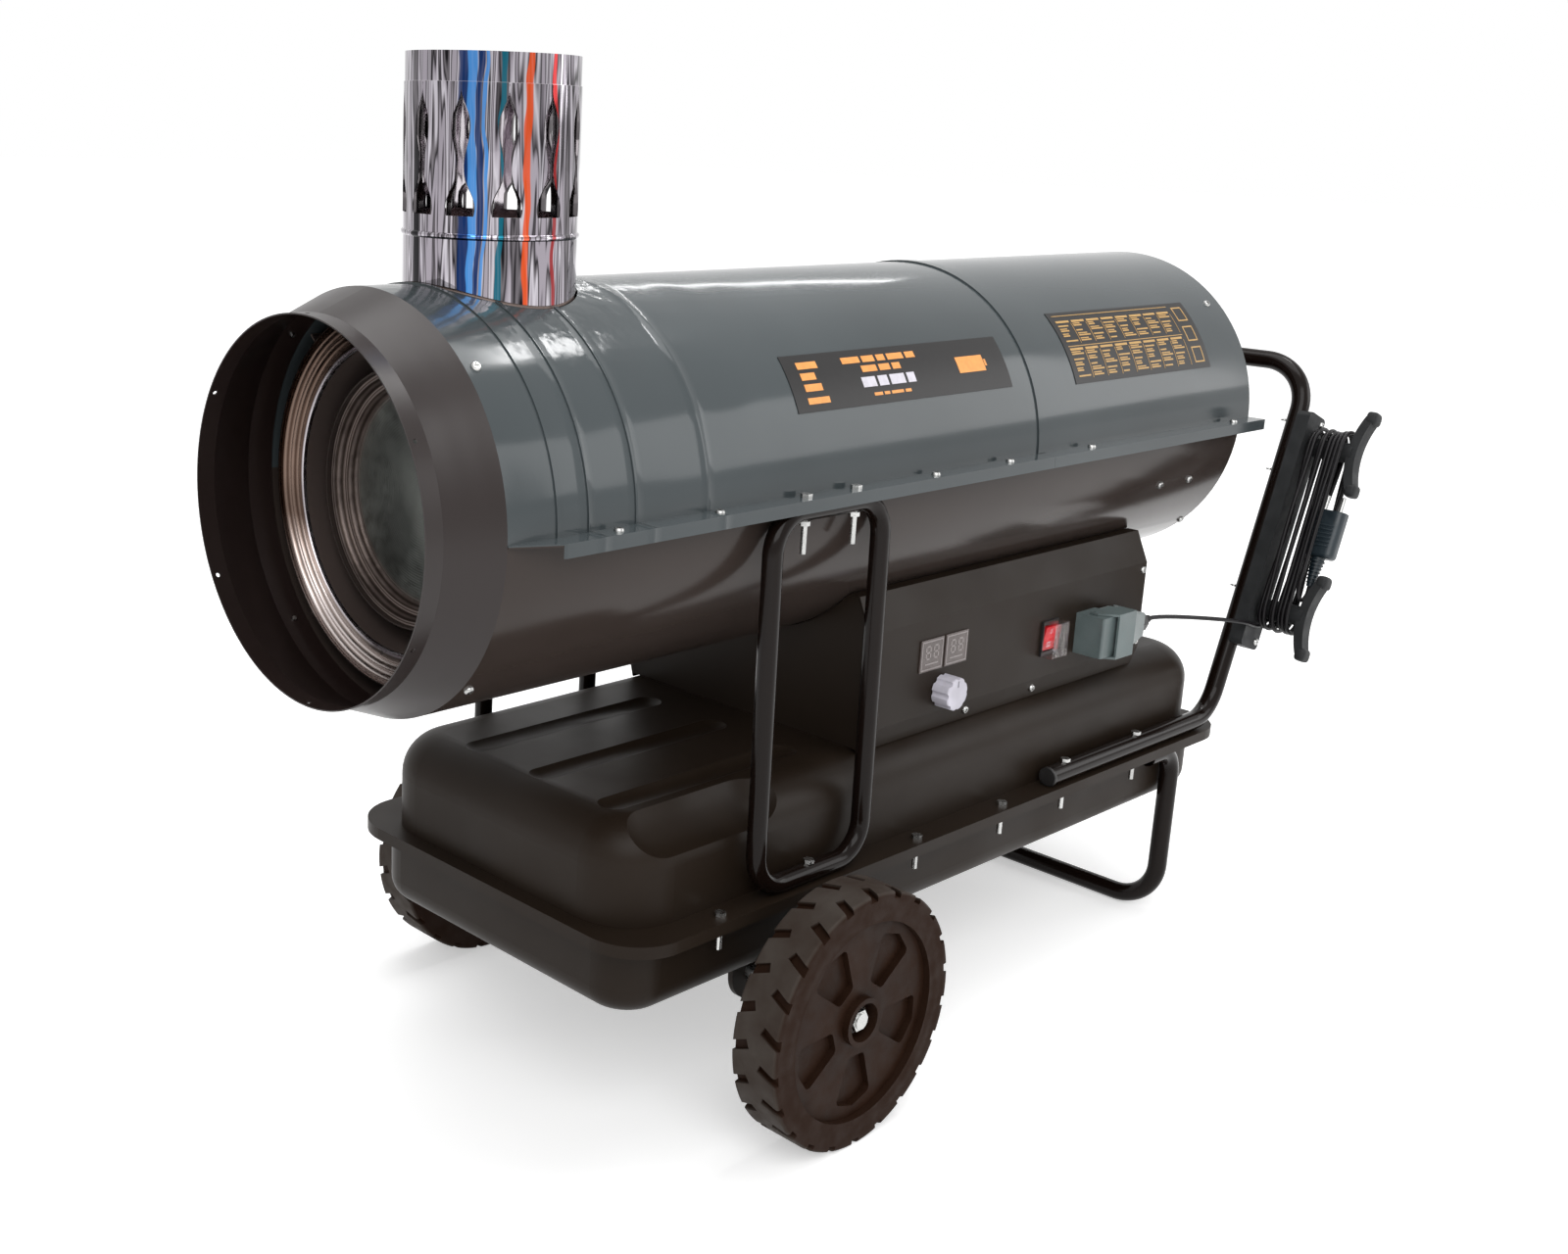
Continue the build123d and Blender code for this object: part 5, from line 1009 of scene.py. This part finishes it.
def make_front_label():
    """Plain orange and white bars, in millimetres on the front plate."""
    orange = [(18, 41, 28, 7), (18, 30, 20, 7), (18, 19, 24, 7), (17, 7, 30, 6)]
    orange += [(252, 20, 44, 17), (297, 25, 3, 7)]
    orange += dashed(82, 42, 6.5, (26, 18, 12, 24, 14), 4) + dashed(106, 32, 6.5, (22, 16, 12), 4)
    orange += dashed(112, 8, 3, (12, 8, 18, 9), 3)
    curved_print("front_label_orange", front_label_start, front_label_foot, orange, "orange_ink")
    white = dashed(100, 17, 10, (20, 14, 22, 12), 4)
    curved_print("front_label_white", front_label_start, front_label_foot, white, "white_ink")


def make_rear_label():
    """Two tables of plain bars and three empty frames, in millimetres on the rear plate."""
    columns, pitch, margin, row_height = 8, 29.5, 9, 6.2
    gold = []
    for low, rows in ((6, 5), (46, 4)):
        top = low + rows * row_height
        for column in range(columns):
            along = margin + column * pitch
            gold.append((along, top, pitch - 5, 2.6))
            gold.append((along + pitch - 3, low - 1, 0.6, top - low))
            for row in range(rows):
                foot = low + row * row_height
                short = (column * 5 + row * 7) % 4
                gold.append((along, foot + 1.2, pitch - 7 - short * 3.5, 1.7))
                if (column + row) % 3:
                    gold.append((along, foot + 3.8, pitch - 12 - short * 2, 1.3))
    gold += [(8, 79.5, 236, 0.8), (8, 41.5, 236, 0.8)]
    for up in (7, 33, 59):
        gold += framed(252, up, 21, 19, 1.6)
    curved_print("rear_label_gold", rear_label_start, rear_label_foot, gold, "gold_ink")


make_front_label()
make_rear_label()


# Marks on the control panel

display_stations = (653 * mm, 695 * mm)
display_height = 408 * mm
display_face = panel_face - 1.5 * mm
knob_station = 676 * mm
knob_height = 366 * mm
knob_face = panel_face - 20.8 * mm
switch_station = 869 * mm
switch_height = 389 * mm
rocker_tilt = radians(8)
rocker_face = 2.6 * mm
mark_sink = 0.1 * mm
display_proud = 0.25 * mm
pointer_proud = 0.3 * mm
rocker_proud = 0.35 * mm


def flat_bars(shape, origin, right, up, out, bars, proud):
    """Thin bars on a plane, each (across, up, width, height) in millimetres from the origin."""
    for x, z, width, height in bars:
        base = origin + right * x * mm + up * z * mm - out * mark_sink
        wide, tall = right * width * mm, up * height * mm
        foot = [base, base + wide, base + wide + tall, base + tall]
        tube_rings(shape, [foot, [corner + out * (proud + mark_sink) for corner in foot]])


def digit_bars(x, z, width, height, line):
    """Seven bars of one display digit, all lit."""
    half = (height - line * 3) / 2
    bars = [(x + line, z + (half + line) * step, width - line * 2, line) for step in range(3)]
    for side in (x, x + width - line):
        bars += [(side, z + line, line, half), (side, z + line * 2 + half, line, half)]
    return bars


def make_display_marks():
    """A frame, two digits and an underline on each display."""
    right, up, out = Vector((1, 0, 0)), Vector((0, 0, 1)), Vector((0, -1, 0))
    bars = framed(-17.5, -15.5, 35, 31, 1.4)
    bars += digit_bars(-11, -4.5, 9, 15, 1.9) + digit_bars(2.0, -4.5, 9, 15, 1.9) + [(-11, -10, 22, 1.6)]

    def build(shape):
        for station in display_stations:
            flat_bars(shape, at(station, display_face, display_height), right, up, out, bars, display_proud)
    mesh = closed_mesh("display_marks", build)
    add_piece("display_marks", mesh, "heater", "display_plastic", "display_ink")


def make_knob_pointer():
    """The dial's pointer, which turns with it."""
    def build(shape):
        flat_bars(shape, at(knob_station, knob_face, knob_height), Vector((1, 0, 0)), Vector((0, 0, 1)),
                  Vector((0, -1, 0)), [(-0.6, 7.5, 1.2, 6.5)], pointer_proud)
    add_piece("knob_pointer", closed_mesh("knob_pointer", build), "knob", "knob_grey", "pointer_grey")


def make_rocker_marks():
    """On and off marks that tilt with the rocker."""
    up = Vector((0, -sin(rocker_tilt), cos(rocker_tilt)))
    out = Vector((0, -cos(rocker_tilt), -sin(rocker_tilt)))
    pivot = at(switch_station, panel_face, switch_height)

    def build(shape):
        flat_bars(shape, pivot + out * rocker_face, Vector((1, 0, 0)), up, out,
                  [(-0.7, 5, 1.4, 6)] + framed(-3, -10.5, 6, 6, 1.1), rocker_proud)
    add_piece("rocker_marks", closed_mesh("rocker_marks", build), "rocker", "switch_red", "white_ink")


make_display_marks()
make_knob_pointer()
make_rocker_marks()


# Ribs and reliefs on the connector, the gland and the plug

hood_ribs_start = 966 * mm
hood_outer = -200 * mm
hood_rib_pitch = 4.2 * mm
hood_rib_half_length = 15 * mm
inlet_height = 385 * mm
gland_middle = -184 * mm
gland_tail_start = 1036.5 * mm
gland_ring_pitch = 3.6 * mm
relief_ring_pitch = 4.4 * mm
relief_start = plug_start + 5 * mm
tail_ring_radius = 4.7 * mm
plug_half_thickness = 11.5 * mm
plug_rib_pitch = 5 * mm
plug_rib_half_length = 12 * mm
plug_ribs_start = plug_start + 50 * mm


def make_hood_ribs():
    """Grip ribs on the connector hood's outer face."""
    def build(shape):
        span = Vector((0, 0, hood_rib_half_length))
        add_bar(shape, -span, span, Vector((1.0 * mm, 0, 0)), Vector((0, 0.9 * mm, 0)))
    mesh = grown("hood_ribs", closed_mesh("hood_rib", build), row_of_copies, "hood_grey",
                 {"Count": 4, "Start": at(hood_ribs_start, hood_outer, inlet_height),
                  "Step": (hood_rib_pitch, 0, 0), "Last Scale": 0.94})
    add_piece("hood_ribs", mesh, "heater", "hood_grey")


def make_gland_rings():
    """Rings along the gland's tapering tail."""
    seed = torus_mesh("gland_ring", Vector((1, 0, 0)), tail_ring_radius, 0.8 * mm)
    mesh = grown("gland_rings", seed, row_of_copies, "black_plastic",
                 {"Count": 4, "Start": at(gland_tail_start, gland_middle, inlet_height),
                  "Step": (gland_ring_pitch, 0, 0), "Last Scale": 0.76})
    add_piece("gland_rings", mesh, "heater", "black_plastic")


def make_plug_details():
    """Relief rings behind the plug, and grip ribs on its two wide faces."""
    seed = torus_mesh("relief_ring", up_handle.copy(), tail_ring_radius, 0.9 * mm)
    mesh = grown("plug_relief_rings", seed, row_of_copies, "plug_plastic",
                 {"Count": 7, "Start": on_handle(relief_start, plug_across, -plug_depth),
                  "Step": up_handle * relief_ring_pitch, "Last Scale": 1.62})
    rings = add_piece("plug_relief_rings", mesh, "heater", "plug_plastic")
    pieces = [rings]
    for name, side in (("plug_ribs_rear", 1), ("plug_ribs_front", -1)):
        def build(shape):
            span = Vector((0, plug_rib_half_length, 0))
            add_bar(shape, -span, span, up_handle * 1.1 * mm, across_handle * 0.7 * mm)
        start = on_handle(plug_ribs_start, plug_across + side * plug_half_thickness, -plug_depth)
        mesh = grown(name, closed_mesh(name, build), row_of_copies, "plug_plastic",
                     {"Count": 6, "Start": start, "Step": up_handle * plug_rib_pitch, "Last Scale": 1.0})
        pieces.append(add_piece(name, mesh, "heater", "plug_plastic"))
    return pieces


make_hood_ribs()
make_gland_rings()
plug_details = make_plug_details()


# Floor and light

def make_stage():
    """Wide pale floor that turns white towards the horizon and keeps the heater's shadow."""
    mesh = bpy.data.meshes.new("floor")
    reach = 30.0
    mesh.from_pydata([(-reach, -reach, 0), (reach, -reach, 0), (reach, reach, 0), (-reach, reach, 0)], [],
                     [(0, 1, 2, 3)])
    floor = bpy.data.objects.new("floor", mesh)
    bpy.context.scene.collection.objects.link(floor)
    look = Look("pale_floor", (0.86, 0.86, 0.86), 0.8, specular=0.0)
    glow = look.spread(look.distance(), 0.42, 0.75, 0.7, 3.5)
    lift = look.node("ShaderNodeEmission")
    look.join(look.math("MULTIPLY", glow, seen_rays(look)), lift.inputs["Strength"])
    both = look.node("ShaderNodeAddShader")
    look.join(look.shader.outputs["BSDF"], both.inputs[0])
    look.join(lift.outputs["Emission"], both.inputs[1])
    look.join(both.outputs["Shader"], look.tree.nodes["Material Output"].inputs["Surface"])
    mesh.materials.append(look.material)


def seen_rays(look):
    """One for camera, mirror and clear rays, else zero."""
    path = look.node("ShaderNodeLightPath")
    seen = look.math("MAXIMUM", path.outputs["Is Camera Ray"], path.outputs["Is Glossy Ray"])
    return look.math("MAXIMUM", seen, path.outputs["Is Transmission Ray"])


def add_lamp(name, place, aim, size, power):
    """Soft white panel that looks at a place, its power in watts."""
    data = bpy.data.lights.new(name, "AREA")
    data.shape = "RECTANGLE"
    data.size = size[0]
    data.size_y = size[1]
    data.energy = power
    lamp = bpy.data.objects.new(name, data)
    lamp.location = place
    lamp.rotation_euler = (Vector(aim) - Vector(place)).to_track_quat("-Z", "Y").to_euler()
    bpy.context.scene.collection.objects.link(lamp)


def make_light():
    """White studio that is dimmer on the heater than it looks, and five panels."""
    world = bpy.data.worlds.new("studio")
    world.use_nodes = True
    tree = world.node_tree
    background = tree.nodes["Background"]
    background.inputs["Color"].default_value = (1, 1, 1, 1)
    background.inputs["Strength"].default_value = 0.5
    plain = tree.nodes.new("ShaderNodeBackground")
    plain.inputs["Color"].default_value = (1, 1, 1, 1)
    plain.inputs["Strength"].default_value = 1.0
    path = tree.nodes.new("ShaderNodeLightPath")
    seen = path.outputs["Is Camera Ray"]
    for kind in ("Is Glossy Ray", "Is Transmission Ray"):
        either = tree.nodes.new("ShaderNodeMath")
        either.operation = "MAXIMUM"
        tree.links.new(seen, either.inputs[0])
        tree.links.new(path.outputs[kind], either.inputs[1])
        seen = either.outputs[0]
    mix = tree.nodes.new("ShaderNodeMixShader")
    tree.links.new(seen, mix.inputs["Fac"])
    tree.links.new(background.outputs["Background"], mix.inputs[1])
    tree.links.new(plain.outputs["Background"], mix.inputs[2])
    tree.links.new(mix.outputs["Shader"], tree.nodes["World Output"].inputs["Surface"])
    bpy.context.scene.world = world
    for name, place, aim, size, power in (
            ("key", (-2.4, -2.6, 3.2), (0, 0, 0.5), (3.4, 3.0), 105),
            ("top", (0.2, 0.2, 3.4), (0, 0, 0.5), (3.2, 2.0), 60),
            ("fill", (3.0, -2.6, 1.8), (0.2, 0, 0.5), (2.4, 1.8), 30),
            ("ceiling_panel", (1.45, -0.1, 3.0), (-0.53, -0.1, 0.74), (0.5, 0.16), 5),
            ("rim_tube", (1.8, 1.62, 2.05), (-0.32, 0, 0.78), (1.4, 0.05), 3)):
        add_lamp(name, place, aim, size, power)
    bpy.context.scene.view_settings.view_transform = "Standard"


make_stage()
make_light()
